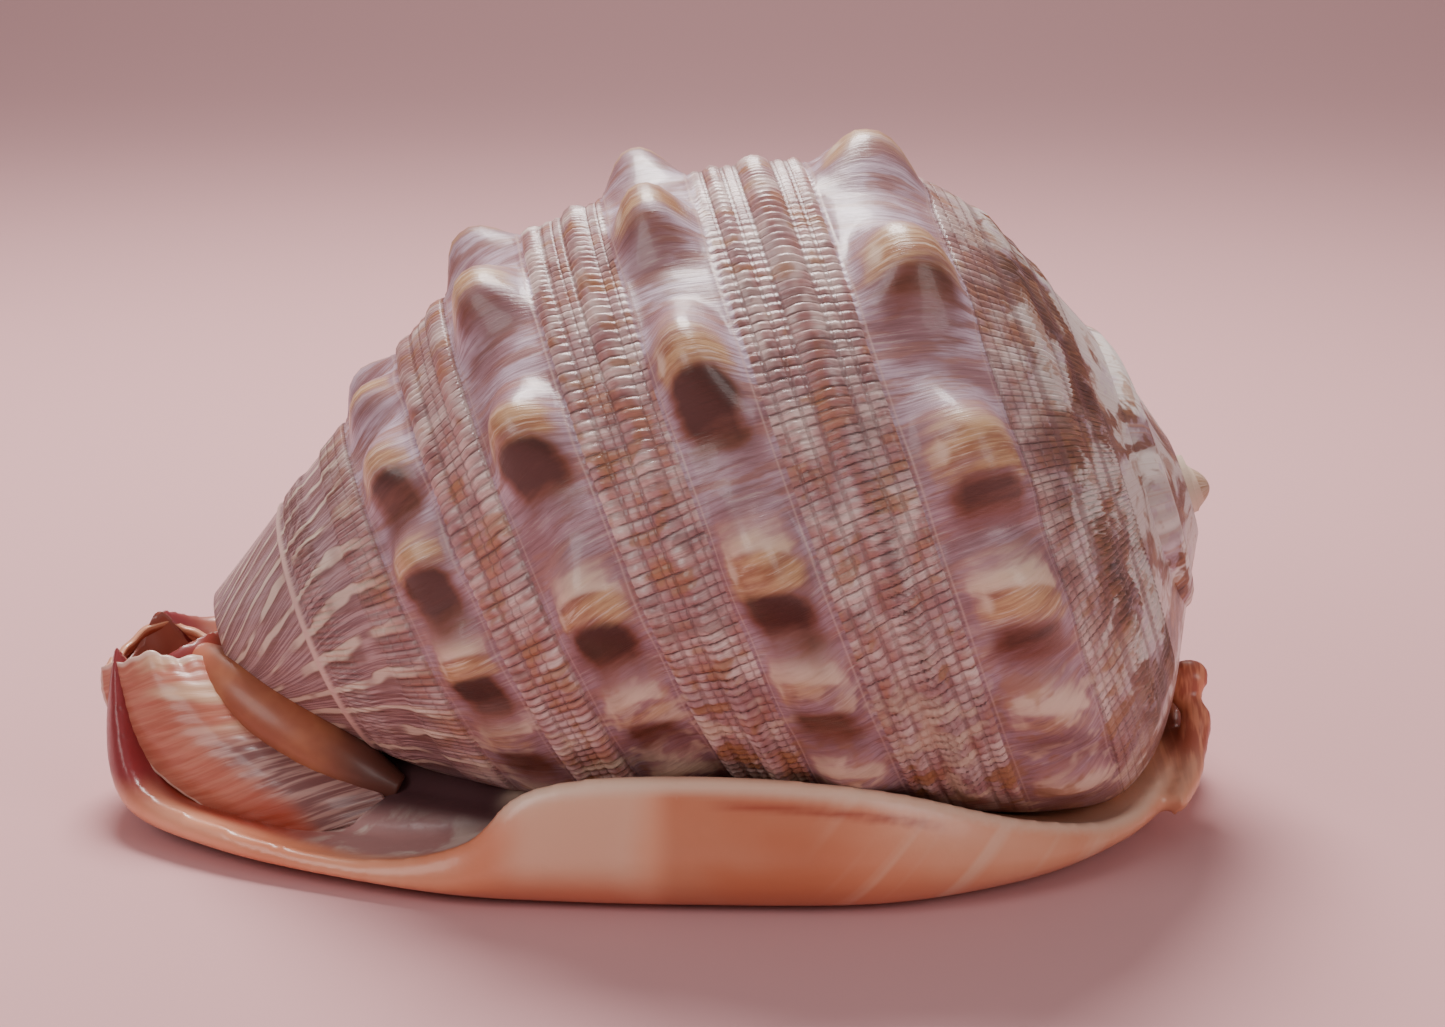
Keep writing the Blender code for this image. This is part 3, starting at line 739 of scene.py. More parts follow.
def make_callus():
    loop = closed_curve(MARGIN, MARGIN_STEPS)
    ahead = np.roll(loop[:, :2], -1, axis=0) - np.roll(loop[:, :2], 1, axis=0)
    ahead /= np.linalg.norm(ahead, axis=1, keepdims=True)
    inward = np.column_stack((-ahead[:, 1], ahead[:, 0]))
    y, height, width = loop[:, 1], loop[:, 2], loop[:, 3]
    lift = np.maximum(loop[:, 4], 0.0)
    back = ease((y - 14.0) / 16.0)
    floor = np.minimum(FLOOR, 0.75 * height)
    rings = (
        (11.0 + 0.0 * y, 0.0 * y),
        (5.5 + 0.0 * y, 0.25 * lift + 0.2),
        (1.5 + 0.0 * y, 0.7 * lift + 0.07 * height + 0.9),
        (-0.4 + 0.0 * y, lift + 0.42 * height),
        (0.32 * width + 2.0 * back, 0.3 * lift + height),
        (0.85 * width + 2.0 * back, 0.3 * lift + height - 0.8 + BACK_RISE * back),
        (width + BOWL_DIP + 3.0 * back, floor + 1.6 * BACK_RISE * back),
    )
    table = np.array([np.column_stack((distance, high)).ravel() for distance, high in rings])
    fine = smooth_path(table, 30).reshape(30, len(loop), 2)
    points = np.empty((30, len(loop) + 1, 3))
    for row in range(30):
        points[row, :-1, :2] = loop[:, :2] + inward * fine[row, :, :1]
        points[row, :-1, 2] = np.maximum(fine[row, :, 1], 0.0)
    points[:, -1] = points[:, 0]
    callus = skin("callus", points)
    close_ends(callus)
    return callus


def join(things, name):
    deselect()
    for thing in things:
        thing.select_set(True)
    bpy.context.view_layer.objects.active = things[0]
    bpy.ops.object.join()
    things[0].name = name
    return things[0]


def melt(thing, voxel, rounds):
    """Joins what overlaps into one skin and softens the edges between."""
    remesh = thing.modifiers.new("melt", "REMESH")
    remesh.mode = "VOXEL"
    remesh.voxel_size = voxel
    soften = thing.modifiers.new("soften", "SMOOTH")
    soften.factor = 0.5
    soften.iterations = rounds
    apply_modifiers(thing)


# The end of the rim behind rolls up into a small curl with two lobes
CURL = (
    (70.0, -21.0, 5.5, 1.6), (72.6, -15.5, 7.2, 1.9), (73.9, -11.5, 9.8, 2.0), (74.8, -8.0, 13.4, 2.2),
    (74.0, -6.2, 14.8, 1.6), (73.0, -5.0, 16.2, 2.0), (73.7, -4.2, 17.4, 2.9), (74.5, -3.8, 17.7, 3.0),
    (75.0, -3.4, 17.2, 2.6),
)
callus = join([
    make_callus(), make_tube("horn", HORN, 60, 60, lowest=3.2), make_tube("curl", CURL, 24, 60),
], "callus")
melt(callus, 0.0008 * COARSE, 6)
print("callus:", len(callus.data.polygons), "faces")

# %% [markdown]
# The melted skin has no rows and columns any more, so its marks are measured. For each vertex the
# nearest point of the rim's loop says how far inside the rim it lies and how far below the edge.

# %% Marks of the callus
def mark_callus(callus):
    points = vertex_array(callus) / MM + ORIGIN
    loop = closed_curve(MARGIN, MARGIN_STEPS)
    nearest = np.empty(len(points), int)
    for start in range(0, len(points), 4000):
        part = points[start:start + 4000, None, :2]
        nearest[start:start + 4000] = np.argmin(np.sum((part - loop[None, :, :2]) ** 2, axis=2), axis=1)
    edge = loop[nearest]
    inside = np.linalg.norm(points[:, :2], axis=1) < np.linalg.norm(edge[:, :2], axis=1)
    inward = np.linalg.norm(points[:, :2] - edge[:, :2], axis=1) * np.where(inside, 1.0, -1.0)
    below = edge[:, 2] + 0.3 * edge[:, 4] - points[:, 2]
    near = ease((-points[:, 1] - 10.0) / 14.0)
    rim = near * (1.0 - ease(np.abs(below) / 1.7)) * ease((points[:, 0] + 22.0) / 6.0)
    ledge = near * np.exp(-((below - 2.3) / 0.5) ** 2)
    ledge *= ease((points[:, 0] - 6.0) / 6.0) * (1.0 - ease((points[:, 0] - 32.0) / 8.0))
    set_value(callus, "rim", rim)
    set_value(callus, "fold", ledge)
    set_value(callus, "inward", inward)
    set_value(callus, "outside", np.ones(len(points)))


mark_callus(callus)

# %% [markdown]
# ## The front canal
#
# At the front end the shell bends up into a short open canal. Its near wall is a thin fan with growth
# rings, its far wall ends in a small beak, and a smooth round ridge winds down between the fan and
# the body whorl. The walls are sheets: a few rows of points give a smooth surface, and a Solidify
# modifier gives it the thickness of shell.

# %% Fan, beak and ridge
FAN = (
    ((-77.0, -4.5, 19.4), (-73.1, -8.0, 21.9), (-68.8, -9.5, 23.2), (-64.6, -9.5, 22.5),
     (-58.5, -5.0, 21.0)),
    ((-76.1, -7.0, 15.8), (-71.3, -11.0, 17.9), (-66.5, -13.6, 19.4), (-61.0, -13.8, 19.0),
     (-54.0, -9.5, 17.6)),
    ((-72.6, -11.0, 11.8), (-67.4, -15.2, 13.5), (-62.1, -17.2, 14.9), (-56.8, -17.4, 15.0),
     (-49.5, -13.5, 14.0)),
    ((-66.6, -16.0, 7.6), (-61.4, -19.2, 9.2), (-56.2, -21.0, 11.0), (-51.2, -21.2, 11.6),
     (-44.0, -17.0, 11.0)),
    ((-59.0, -20.5, 4.4), (-54.3, -23.0, 5.8), (-49.4, -24.2, 7.2), (-44.8, -23.8, 8.0),
     (-38.0, -20.0, 8.0)),
    ((-53.5, -22.5, 2.2), (-49.5, -24.6, 2.6), (-45.4, -25.0, 3.2), (-41.4, -24.0, 3.8),
     (-35.0, -20.5, 4.2)),
)
BEAK = (
    ((-77.0, -3.5, 19.2), (-76.6, 1.5, 19.4), (-74.9, 5.5, 20.6), (-70.6, 8.2, 22.8), (-66.4, 8.6, 20.6),
     (-62.0, 7.0, 19.2)),
    ((-76.4, -3.5, 15.0), (-76.2, 2.0, 15.0), (-74.3, 6.5, 15.5), (-70.2, 9.6, 16.5), (-66.0, 10.0, 15.5),
     (-61.0, 9.0, 14.0)),
    ((-74.0, -3.5, 9.0), (-73.6, 3.0, 9.0), (-71.5, 8.5, 9.0), (-68.0, 11.5, 9.0), (-64.0, 12.5, 9.0),
     (-58.0, 12.5, 8.0)),
)
RIDGE = (
    (-64.8, -2.0, 20.6, 2.2), (-61.4, -6.2, 20.2, 3.3), (-57.6, -9.8, 18.6, 4.3), (-53.4, -12.6, 16.2, 4.9),
    (-49.0, -14.8, 13.8, 5.1), (-44.2, -16.6, 11.2, 4.8), (-39.4, -17.6, 8.8, 3.9),
    (-34.8, -18.0, 6.6, 2.2),
)
SHEET_ROWS, SHEET_COLUMNS = 90, 70


def make_sheet(name, stops, thickness, rim_wave=0.0):
    """A curved sheet through rows of points, with marks for how far down and across it lies."""
    stops = np.asarray(stops, float)
    rows, columns = stops.shape[:2]
    down = smooth_path(stops.reshape(rows, -1), SHEET_ROWS).reshape(SHEET_ROWS, columns, 3)
    fine = smooth_path(down.transpose(1, 0, 2).reshape(columns, -1), SHEET_COLUMNS)
    points = fine.reshape(SHEET_COLUMNS, SHEET_ROWS, 3).transpose(1, 0, 2)
    shares_down, shares_across = np.linspace(0, 1, SHEET_ROWS), np.linspace(0, 1, SHEET_COLUMNS)
    depth, across = np.meshgrid(shares_down, shares_across, indexing="ij")
    ripple = np.sin(across * 17.0) + 0.6 * np.sin(across * 41.0 + 1.0)
    points = points + (0.0, 0.0, 1.0) * (rim_wave * ripple * (1.0 - ease(depth / 0.2)))[..., None]
    rings = np.sin(depth * 105.0 + 3.0 * across) + 0.5 * np.sin(depth * 61.0 - 2.0 * across)
    points = points + surface_normals(points) * (0.035 * rings * ease(depth / 0.1))[..., None]
    sheet = skin(name, points)
    set_value(sheet, "down", depth)
    set_value(sheet, "across", across)
    wall = sheet.modifiers.new("wall", "SOLIDIFY")
    wall.thickness = thickness * MM
    wall.offset = 0.0
    apply_modifiers(sheet)
    edit(sheet, lambda: bpy.ops.mesh.normals_make_consistent(inside=False))
    return sheet


fan = make_sheet("canal_near_wall", FAN, 1.1, 0.28)
beak = make_sheet("canal_far_wall", BEAK, 1.0, 0.25)
ridge = make_tube("canal_ridge", RIDGE, 48, 90)
set_value(ridge, "down", (vertex_array(ridge)[:, 0] / MM + ORIGIN[0] + 66.0) / 30.0)
print("front pieces:", [len(piece.data.polygons) for piece in (fan, beak, ridge)])

# %% [markdown]
# ## Spire
#
# The early whorls are wound round the apex, each 0.58 times as wide as the next. In a round grid the
# logarithm of the radius counts the turns, so one formula gives the groove between two whorls and the
# shoulder that rises beside it. The shell's first turn is a smooth round nub in the middle.

# %% The early whorls
SPIRE_TURNS, SPIRE_COLUMNS, SPIRE_ROWS = 3.0, 240, 90
SPIRE_SHRINK, SPIRE_RADIUS, SPIRE_START = 0.58, 31.0, 290.0
SPIRE_DEPTH, SPIRE_TIP, SPIRE_STEP = 8.6, 2.2, 2.4
SHOULDER_AT, SHOULDER_HEIGHT = (0.0, 0.12, 0.3, 1.0), (0.0, 0.8, 1.0, 0.35)
SPIRE_ROOT = 9.0
NUB_RADIUS, NUB_BLEND, NUB_TIP, NUB_FALL = 2.2, 3.0, -0.9, 0.19
LOW_SIDE_SHORT = 0.24


def make_spire():
    angles, shares = np.linspace(0.0, 360.0, SPIRE_COLUMNS + 1), np.linspace(1.0, 0.0, SPIRE_ROWS)
    angle, share = np.meshgrid(angles, shares)
    # Turns wound in from the outer edge to this point of the disc
    first = np.mod(SPIRE_START - angle, 360.0) / 360.0
    radius = share * SPIRE_RADIUS * SPIRE_SHRINK**first
    turns = np.log(np.maximum(radius, 1e-3) / SPIRE_RADIUS) / math.log(SPIRE_SHRINK)
    turns_in = first + np.maximum(np.floor((turns - first) + 1e-9), 0.0)
    size = SPIRE_SHRINK**turns_in
    inner = size * SPIRE_SHRINK
    local = (size * SPIRE_RADIUS - radius) / np.maximum((size - inner) * SPIRE_RADIUS, 1e-6)
    local = np.clip(local, 0.0, 1.0)
    shown = ease(2.5 * turns_in)
    rise = np.interp(local, SHOULDER_AT, SHOULDER_HEIGHT) * SPIRE_STEP * size * shown
    groove = SPIRE_TIP + SPIRE_DEPTH * (size * (1.0 - local) + inner * local)
    depth = groove - rise + 1.5 * (1.0 - shown) * (1.0 - local)
    core = 2.4 * radius / (SPIRE_RADIUS * SPIRE_SHRINK**SPIRE_TURNS) - 0.4
    depth = np.where(turns_in > SPIRE_TURNS, np.minimum(depth, core), depth)
    nub = 1.0 - ease((radius - NUB_RADIUS) / NUB_BLEND)
    depth = depth + (NUB_TIP + NUB_FALL * radius**2 - depth) * nub
    turn = np.radians(angle)
    radius = radius * (1.0 - LOW_SIDE_SHORT * ease((np.cos(turn) + 0.3) / 1.3))
    outward = -np.cos(turn)[..., None] * RAISED + np.sin(turn)[..., None] * NEAR_SIDE
    points = APEX + AXIS * depth[..., None] + outward * radius[..., None]
    root = points[:1] + AXIS * SPIRE_ROOT
    spire = skin("spire", np.vstack((root, points)))
    set_value(spire, "turn", np.vstack((angle[:1], angle)))
    set_value(spire, "wound", np.vstack((turns_in[:1], turns_in)))
    close_ends(spire)
    return spire


spire = make_spire()
print("spire:", len(spire.data.polygons), "faces")

# %% [markdown]
# ## Materials
#
# The colours of a shell are laid down line by line as it grows. So every pattern is made of noise that
# is stretched along the growth lines, and the marks that the mesh carries say where each pigment is and
# where shade is painted.
# A few short helpers keep the node trees readable: each makes one node and returns its output.

# %% Node helpers
class Finish:
    """A material with a Principled shader, and short calls that each add one node."""

    def __init__(self, name):
        self.material = bpy.data.materials.new(name)
        self.material.use_nodes = True
        self.tree = self.material.node_tree
        self.shader = self.tree.nodes["Principled BSDF"]

    def put(self, socket, value):
        if isinstance(value, bpy.types.NodeSocket):
            self.tree.links.new(value, socket)
        elif isinstance(value, tuple) and len(value) == 3 and socket.type == "RGBA":
            socket.default_value = value + (1.0,)
        else:
            socket.default_value = value

    def mark(self, name):
        """A number that the mesh carries."""
        node = self.tree.nodes.new("ShaderNodeAttribute")
        node.attribute_name = name
        return node.outputs["Fac"]

    def sum(self, operation, first, second=0.0, third=0.0, clamp=False):
        node = self.tree.nodes.new("ShaderNodeMath")
        node.operation = operation
        node.use_clamp = clamp
        for socket, value in zip(node.inputs, (first, second, third)):
            self.put(socket, value)
        return node.outputs[0]

    def band(self, value, low, high):
        """0 below low, 1 above high, smooth between them. It falls where low is the larger."""
        node = self.tree.nodes.new("ShaderNodeMapRange")
        node.interpolation_type = "SMOOTHSTEP"
        falls = low > high
        for name, number in (("Value", value), ("From Min", min(low, high)), ("From Max", max(low, high)),
                             ("To Min", 1.0 if falls else 0.0), ("To Max", 0.0 if falls else 1.0)):
            self.put(node.inputs[name], number)
        return node.outputs["Result"]

    def point(self, x, y, z=0.0):
        node = self.tree.nodes.new("ShaderNodeCombineXYZ")
        for socket, value in zip(node.inputs, (x, y, z)):
            self.put(socket, value)
        return node.outputs[0]

    def place(self):
        """The piece's own coordinates, in millimetres."""
        coordinate = self.tree.nodes.new("ShaderNodeTexCoord")
        mapping = self.tree.nodes.new("ShaderNodeMapping")
        mapping.inputs["Scale"].default_value = (1000.0, 1000.0, 1000.0)
        self.tree.links.new(coordinate.outputs["Object"], mapping.inputs["Vector"])
        return mapping.outputs[0]

    def noise(self, vector, scale, detail=2.0, rough=0.55, twist=0.0):
        node = self.tree.nodes.new("ShaderNodeTexNoise")
        self.put(node.inputs["Vector"], vector)
        names = ("Scale", "Detail", "Roughness", "Distortion")
        for name, value in zip(names, (scale, detail, rough, twist)):
            node.inputs[name].default_value = value
        return node.outputs["Fac"]

    def mix(self, share, under, over):
        node = self.tree.nodes.new("ShaderNodeMix")
        node.data_type = "RGBA"
        for socket, value in ((node.inputs[0], share), (node.inputs[6], under), (node.inputs[7], over)):
            self.put(socket, value)
        return node.outputs[2]

    def times(self, first, second):
        return self.sum("MULTIPLY", first, second)

    def lay(self, under, share, strength, over):
        """One pigment laid over another, as densely as its share times its strength."""
        return self.mix(self.times(share, strength), under, over)

    def bump(self, height, distance, strength=1.0, under=None):
        node = self.tree.nodes.new("ShaderNodeBump")
        self.put(node.inputs["Height"], height)
        node.inputs["Distance"].default_value = distance
        node.inputs["Strength"].default_value = strength
        if under is not None:
            self.put(node.inputs["Normal"], under)
        return node.outputs[0]

    def finish(self, colour, roughness, normal, coat=0.3):
        self.put(self.shader.inputs["Base Color"], colour)
        self.put(self.shader.inputs["Roughness"], roughness)
        self.put(self.shader.inputs["Normal"], normal)
        self.shader.inputs["Coat Weight"].default_value = coat
        self.shader.inputs["Coat Roughness"].default_value = 0.12
        self.shader.inputs["IOR"].default_value = 1.5
        return self.material


# %% [markdown]
# The body whorl's colours, in the order in which they are laid over each other: a mauve ground with
# fine growth lines, pinkish beads with nearly black painted shade in the gaps and at the cords' feet,
# cream above each brow, dark brown pigment with painted shade under it, gold on it, and pale threads
# beside the strips. Towards the spire come white and brown blotches, with painted shade in the furrows
# between the cords, and towards the front end pale bars with brown under each, which bend back round
# the canal.

# %% Pigments, painted shade and a painted highlight
LILAC, MAUVE, ROSE_BROWN = (0.60, 0.46, 0.56), (0.31, 0.16, 0.18), (0.36, 0.165, 0.140)
BEAD_PINK, BEAD_CREAM, BEAD_AMBER = (0.46, 0.245, 0.235), (0.74, 0.56, 0.52), (0.44, 0.185, 0.085)
LINE_BROWN = (0.19, 0.085, 0.085)
GAP_SHADE_BROWN, UMBER, CHESTNUT = (0.075, 0.032, 0.036), (0.060, 0.019, 0.015), (0.24, 0.070, 0.028)
GOLD, AMBER, CREAM = (0.60, 0.37, 0.19), (0.37, 0.165, 0.065), (0.76, 0.58, 0.45)
CHALK = (0.66, 0.53, 0.47)
SPIRE_WHITE, FLAME_BROWN = (0.78, 0.70, 0.66), (0.22, 0.095, 0.055)
THREAD_PALE, INNER_CREAM, INNER_RED = (0.66, 0.45, 0.40), (0.58, 0.42, 0.33), (0.30, 0.075, 0.05)
SALMON, PEACH, PALE_PEACH = (0.66, 0.235, 0.125), (0.72, 0.33, 0.20), (0.74, 0.46, 0.33)
STRIPE_DARK, STRIPE_PALE = (0.19, 0.090, 0.095), (0.46, 0.30, 0.30)
BAR_BROWN, BAR_CREAM = (0.16, 0.064, 0.050), (0.76, 0.62, 0.50)
FAN_DARK, FAN_LIGHT, FAN_CREAM = (0.42, 0.125, 0.080), (0.52, 0.20, 0.135), (0.66, 0.43, 0.28)
RING_DARK, RING_PALE, FAN_RIM_HIGHLIGHT = (0.17, 0.075, 0.075), (0.42, 0.26, 0.23), (0.72, 0.50, 0.42)
BEAK_RED = (0.46, 0.12, 0.07)
RIDGE_DARK, RIDGE_WARM = (0.31, 0.090, 0.045), (0.38, 0.130, 0.060)
RIDGE_TOP, RIDGE_FOOT_SHADE = (0.46, 0.135, 0.075), (0.12, 0.040, 0.028)
BARS_BEND_FROM, BARS_BEND = 115.0, 0.10
BURNT_ORANGE, DEEP_RED, CRIMSON = (0.44, 0.115, 0.045), (0.34, 0.055, 0.030), (0.22, 0.022, 0.026)

# %% Blotches of the spire
def blotched(make):
    """Chalky white with brown and umber blotches, which the spire and the whorl beside it share."""
    where = make.place()
    broad = make.noise(where, 0.085, 4.0, 0.6, 0.7)
    small = make.noise(where, 0.24, 3.0, 0.6, 0.4)
    colour = make.mix(make.band(broad, 0.47, 0.53), FLAME_BROWN, SPIRE_WHITE)
    colour = make.lay(colour, make.band(small, 0.53, 0.62), 0.6, AMBER)
    colour = make.lay(colour, make.band(small, 0.45, 0.36), 0.55, LILAC)
    return make.lay(colour, make.band(broad, 0.45, 0.38), 0.8, UMBER)


# %% [markdown]
# The whorl's own finish starts from coordinates stretched along the growth lines, and then lays each
# pigment, and the painted shade, where its mark is strong.

# %% Body whorl
def whorl_finish():
    make = Finish("whorl_shell")
    place, growth, phase = make.mark("place"), make.mark("growth"), make.mark("phase")
    angle = make.mark("angle")
    cord, dark_and_shade, gold, cream = (make.mark(name) for name in ("cord", "dark_and_shade", "gold", "cream"))
    low = make.band(angle, 92.0, 64.0)
    # Stretched coordinates: short steps along the spiral, long ones along a growth line
    lines = make.noise(make.point(make.times(place, 0.08), growth), 1.5, 4.0, 0.7)
    broad = make.noise(make.point(make.times(place, 0.9), growth), 0.11, 2.0)
    streak = make.noise(make.point(make.times(place, 0.32), growth), 0.33, 3.0, 0.6)
    patch = make.noise(make.point(place, growth, 9.0), 0.17, 2.5, 0.6)
    ground = make.mix(make.band(broad, 0.36, 0.62), MAUVE, LILAC)
    ground = make.lay(ground, make.band(angle, 138.0, 100.0), 0.65, MAUVE)
    ground = make.lay(ground, make.band(streak, 0.48, 0.62), 0.8, ROSE_BROWN)
    ground = make.lay(ground, make.band(lines, 0.46, 0.62), 0.55, LINE_BROWN)
    ground = make.lay(ground, make.band(lines, 0.44, 0.32), 0.35, CHALK)
    # Beads: one colour each, by the count of the rib
    count = make.sum("FLOOR", phase)
    each = make.noise(make.point(make.times(place, 0.22), make.times(count, 0.20)), 1.0, 2.0)
    bead = make.mix(make.band(each, 0.42, 0.62), BEAD_PINK, BEAD_CREAM)
    bead = make.lay(bead, make.band(each, 0.46, 0.36), 0.6, BEAD_AMBER)
    bead = make.lay(bead, make.band(lines, 0.46, 0.62), 0.35, LINE_BROWN)
    bead = make.lay(bead, make.band(broad, 0.55, 0.40), 0.45, MAUVE)
    bead = make.lay(bead, make.band(patch, 0.44, 0.36), 0.6, AMBER)
    bead = make.lay(bead, make.band(patch, 0.56, 0.64), 0.5, LINE_BROWN)
    # Painted shade: nearly black lines in the gaps between the beads, and a darker band at each cord's foot
    gap = make.band(make.sum("PINGPONG", phase, 0.5), 0.15, 0.0)
    soft_gap = make.sum("MULTIPLY_ADD", make.band(streak, 0.42, 0.60), 0.5, 0.22)
    gap = make.sum("MAXIMUM", make.times(gap, soft_gap), make.times(make.band(cord, 0.4, 0.0), 0.38))
    corded = make.band(make.mark("corded"), 0.3, 0.7)
    colour = make.mix(corded, ground, make.mix(gap, bead, GAP_SHADE_BROWN))
    # Marks of the knobs, frayed along the growth lines
    fray = make.times(make.sum("SUBTRACT", streak, 0.5), 0.9)
    frayed = make.sum("ADD", cream, make.times(fray, 1.6))
    colour = make.lay(colour, make.band(frayed, 0.10, 0.55), 0.7, BEAD_PINK)
    colour = make.lay(colour, make.band(frayed, 0.40, 0.95), 0.9, CREAM)
    blotch = make.sum("ADD", patch, make.times(fray, 0.35))
    colour = make.lay(colour, make.times(make.band(blotch, 0.53, 0.66), low), 0.75, CREAM)
    colour = make.lay(colour, make.times(make.band(blotch, 0.47, 0.36), low), 0.6, AMBER)
    # Painted shade with brown pigment: the dark patch under each brow, laid as three darker layers
    edge = make.sum("ADD", dark_and_shade, make.times(fray, 0.8))
    colour = make.lay(colour, make.band(edge, 0.02, 0.42), 0.65, LINE_BROWN)
    colour = make.lay(colour, make.band(edge, 0.26, 0.62), 0.75, CHESTNUT)
    colour = make.lay(colour, make.band(edge, 0.34, 0.82), 0.93, UMBER)
    golden = make.mix(make.band(streak, 0.38, 0.60), AMBER, GOLD)
    golden = make.lay(golden, make.band(lines, 0.46, 0.66), 0.4, CHESTNUT)
    golden = make.lay(golden, make.band(lines, 0.47, 0.36), 0.75, CREAM)
    colour = make.lay(colour, make.band(make.sum("ADD", gold, fray), 0.25, 1.0), 0.9, golden)
    colour = make.lay(colour, make.band(make.times(gold, cream), 0.25, 0.6), 0.8, CREAM)
    # Towards the spire: chalky white with brown blotches, and painted shade in the furrows between the
    # cords
    flame = blotched(make)
    flame = make.lay(flame, make.band(lines, 0.5, 0.7), 0.45, BEAD_AMBER)
    near_spire = make.times(make.band(place, 27.5, 18.0), 0.85)
    furrow_shade = make.times(make.band(cord, 0.55, 0.0), corded)
    flame = make.lay(flame, furrow_shade, 0.6, LINE_BROWN)
    colour = make.mix(near_spire, colour, flame)
    # Towards the front end: pale bars on fine stripes, one bar to each cell
    bent = make.sum("MAXIMUM", make.sum("SUBTRACT", place, BARS_BEND_FROM), 0.0)
    front = make.sum("ADD", growth, make.times(make.times(bent, bent), BARS_BEND))
    sway = make.noise(make.point(make.times(place, 0.13), make.times(front, 0.1)), 1.0, 2.0)
    cell = make.sum("MULTIPLY_ADD", front, 0.10, make.times(sway, 1.1))
    whole = make.sum("FLOOR", cell)
    cell = make.sum("SUBTRACT", cell, whole)
    worn = make.noise(make.point(make.times(place, 0.2), make.times(whole, 3.7)), 1.0, 2.0)
    worn = make.band(worn, 0.34, 0.52)
    close = make.noise(make.point(make.times(place, 0.08), front), 1.1, 4.0, 0.65)
    striped = make.mix(make.band(close, 0.42, 0.58), STRIPE_DARK, STRIPE_PALE)
    shade = make.times(make.times(make.band(cell, 0.28, 0.70), worn), 0.85)
    striped = make.mix(shade, striped, BAR_BROWN)
    bar = make.times(make.band(cell, 0.68, 0.78), make.band(cell, 1.0, 0.93))
    striped = make.lay(striped, make.times(bar, worn), 0.9, BAR_CREAM)
    colour = make.lay(colour, make.band(place, 109.0, 116.0), 0.85, striped)
    colour = make.mix(make.band(make.mark("thread"), 0.05, 0.85), colour, THREAD_PALE)
    inside = make.mix(make.band(make.noise(make.place(), 0.09, 2.0), 0.42, 0.6), INNER_CREAM, INNER_RED)
    colour = make.mix(make.band(make.mark("outside"), 0.35, 0.65), inside, colour)
    fine = make.bump(lines, 0.00022, 0.6)
    cut = make.times(make.times(gap, corded), -1.0)
    normal = make.bump(cut, 0.0003, 0.7, fine)
    roughness = make.sum("MULTIPLY_ADD", make.noise(make.place(), 0.35, 3.0), 0.25, 0.22)
    return make.finish(colour, roughness, normal, 0.22)


# %% [markdown]
# The spire is chalky white with brown blotches, and its first turn is cream. The callus after it is
# smooth and glossy: salmon below, paler where it is thin, cream along the upper edge and deep red where
# it folds.

# %% Spire
def spire_finish():
    make = Finish("spire_shell")
    turn, wound = make.mark("turn"), make.mark("wound")
    lines = make.noise(make.point(turn, make.times(wound, 0.8)), 0.7, 3.0)
    threads = make.noise(make.point(make.times(turn, 0.02), make.times(wound, 16.0)), 1.0, 2.0)
    colour = make.lay(blotched(make), make.band(threads, 0.52, 0.62), 0.5, LINE_BROWN)
    colour = make.lay(colour, make.band(lines, 0.5, 0.7), 0.4, BEAD_AMBER)
    colour = make.mix(make.band(wound, 2.2, 3.0), colour, CREAM)
    tip = make.times(make.band(wound, 3.2, 4.2), make.band(lines, 0.40, 0.56))
    colour = make.lay(colour, tip, 0.8, AMBER)
    normal = make.bump(lines, 0.00025, 0.6)
    return make.finish(colour, make.sum("MULTIPLY_ADD", lines, 0.2, 0.42), normal, 0.05)


# %% [markdown]
# The callus has no rows and columns, so its colours follow the measured marks and plain x, y and z.

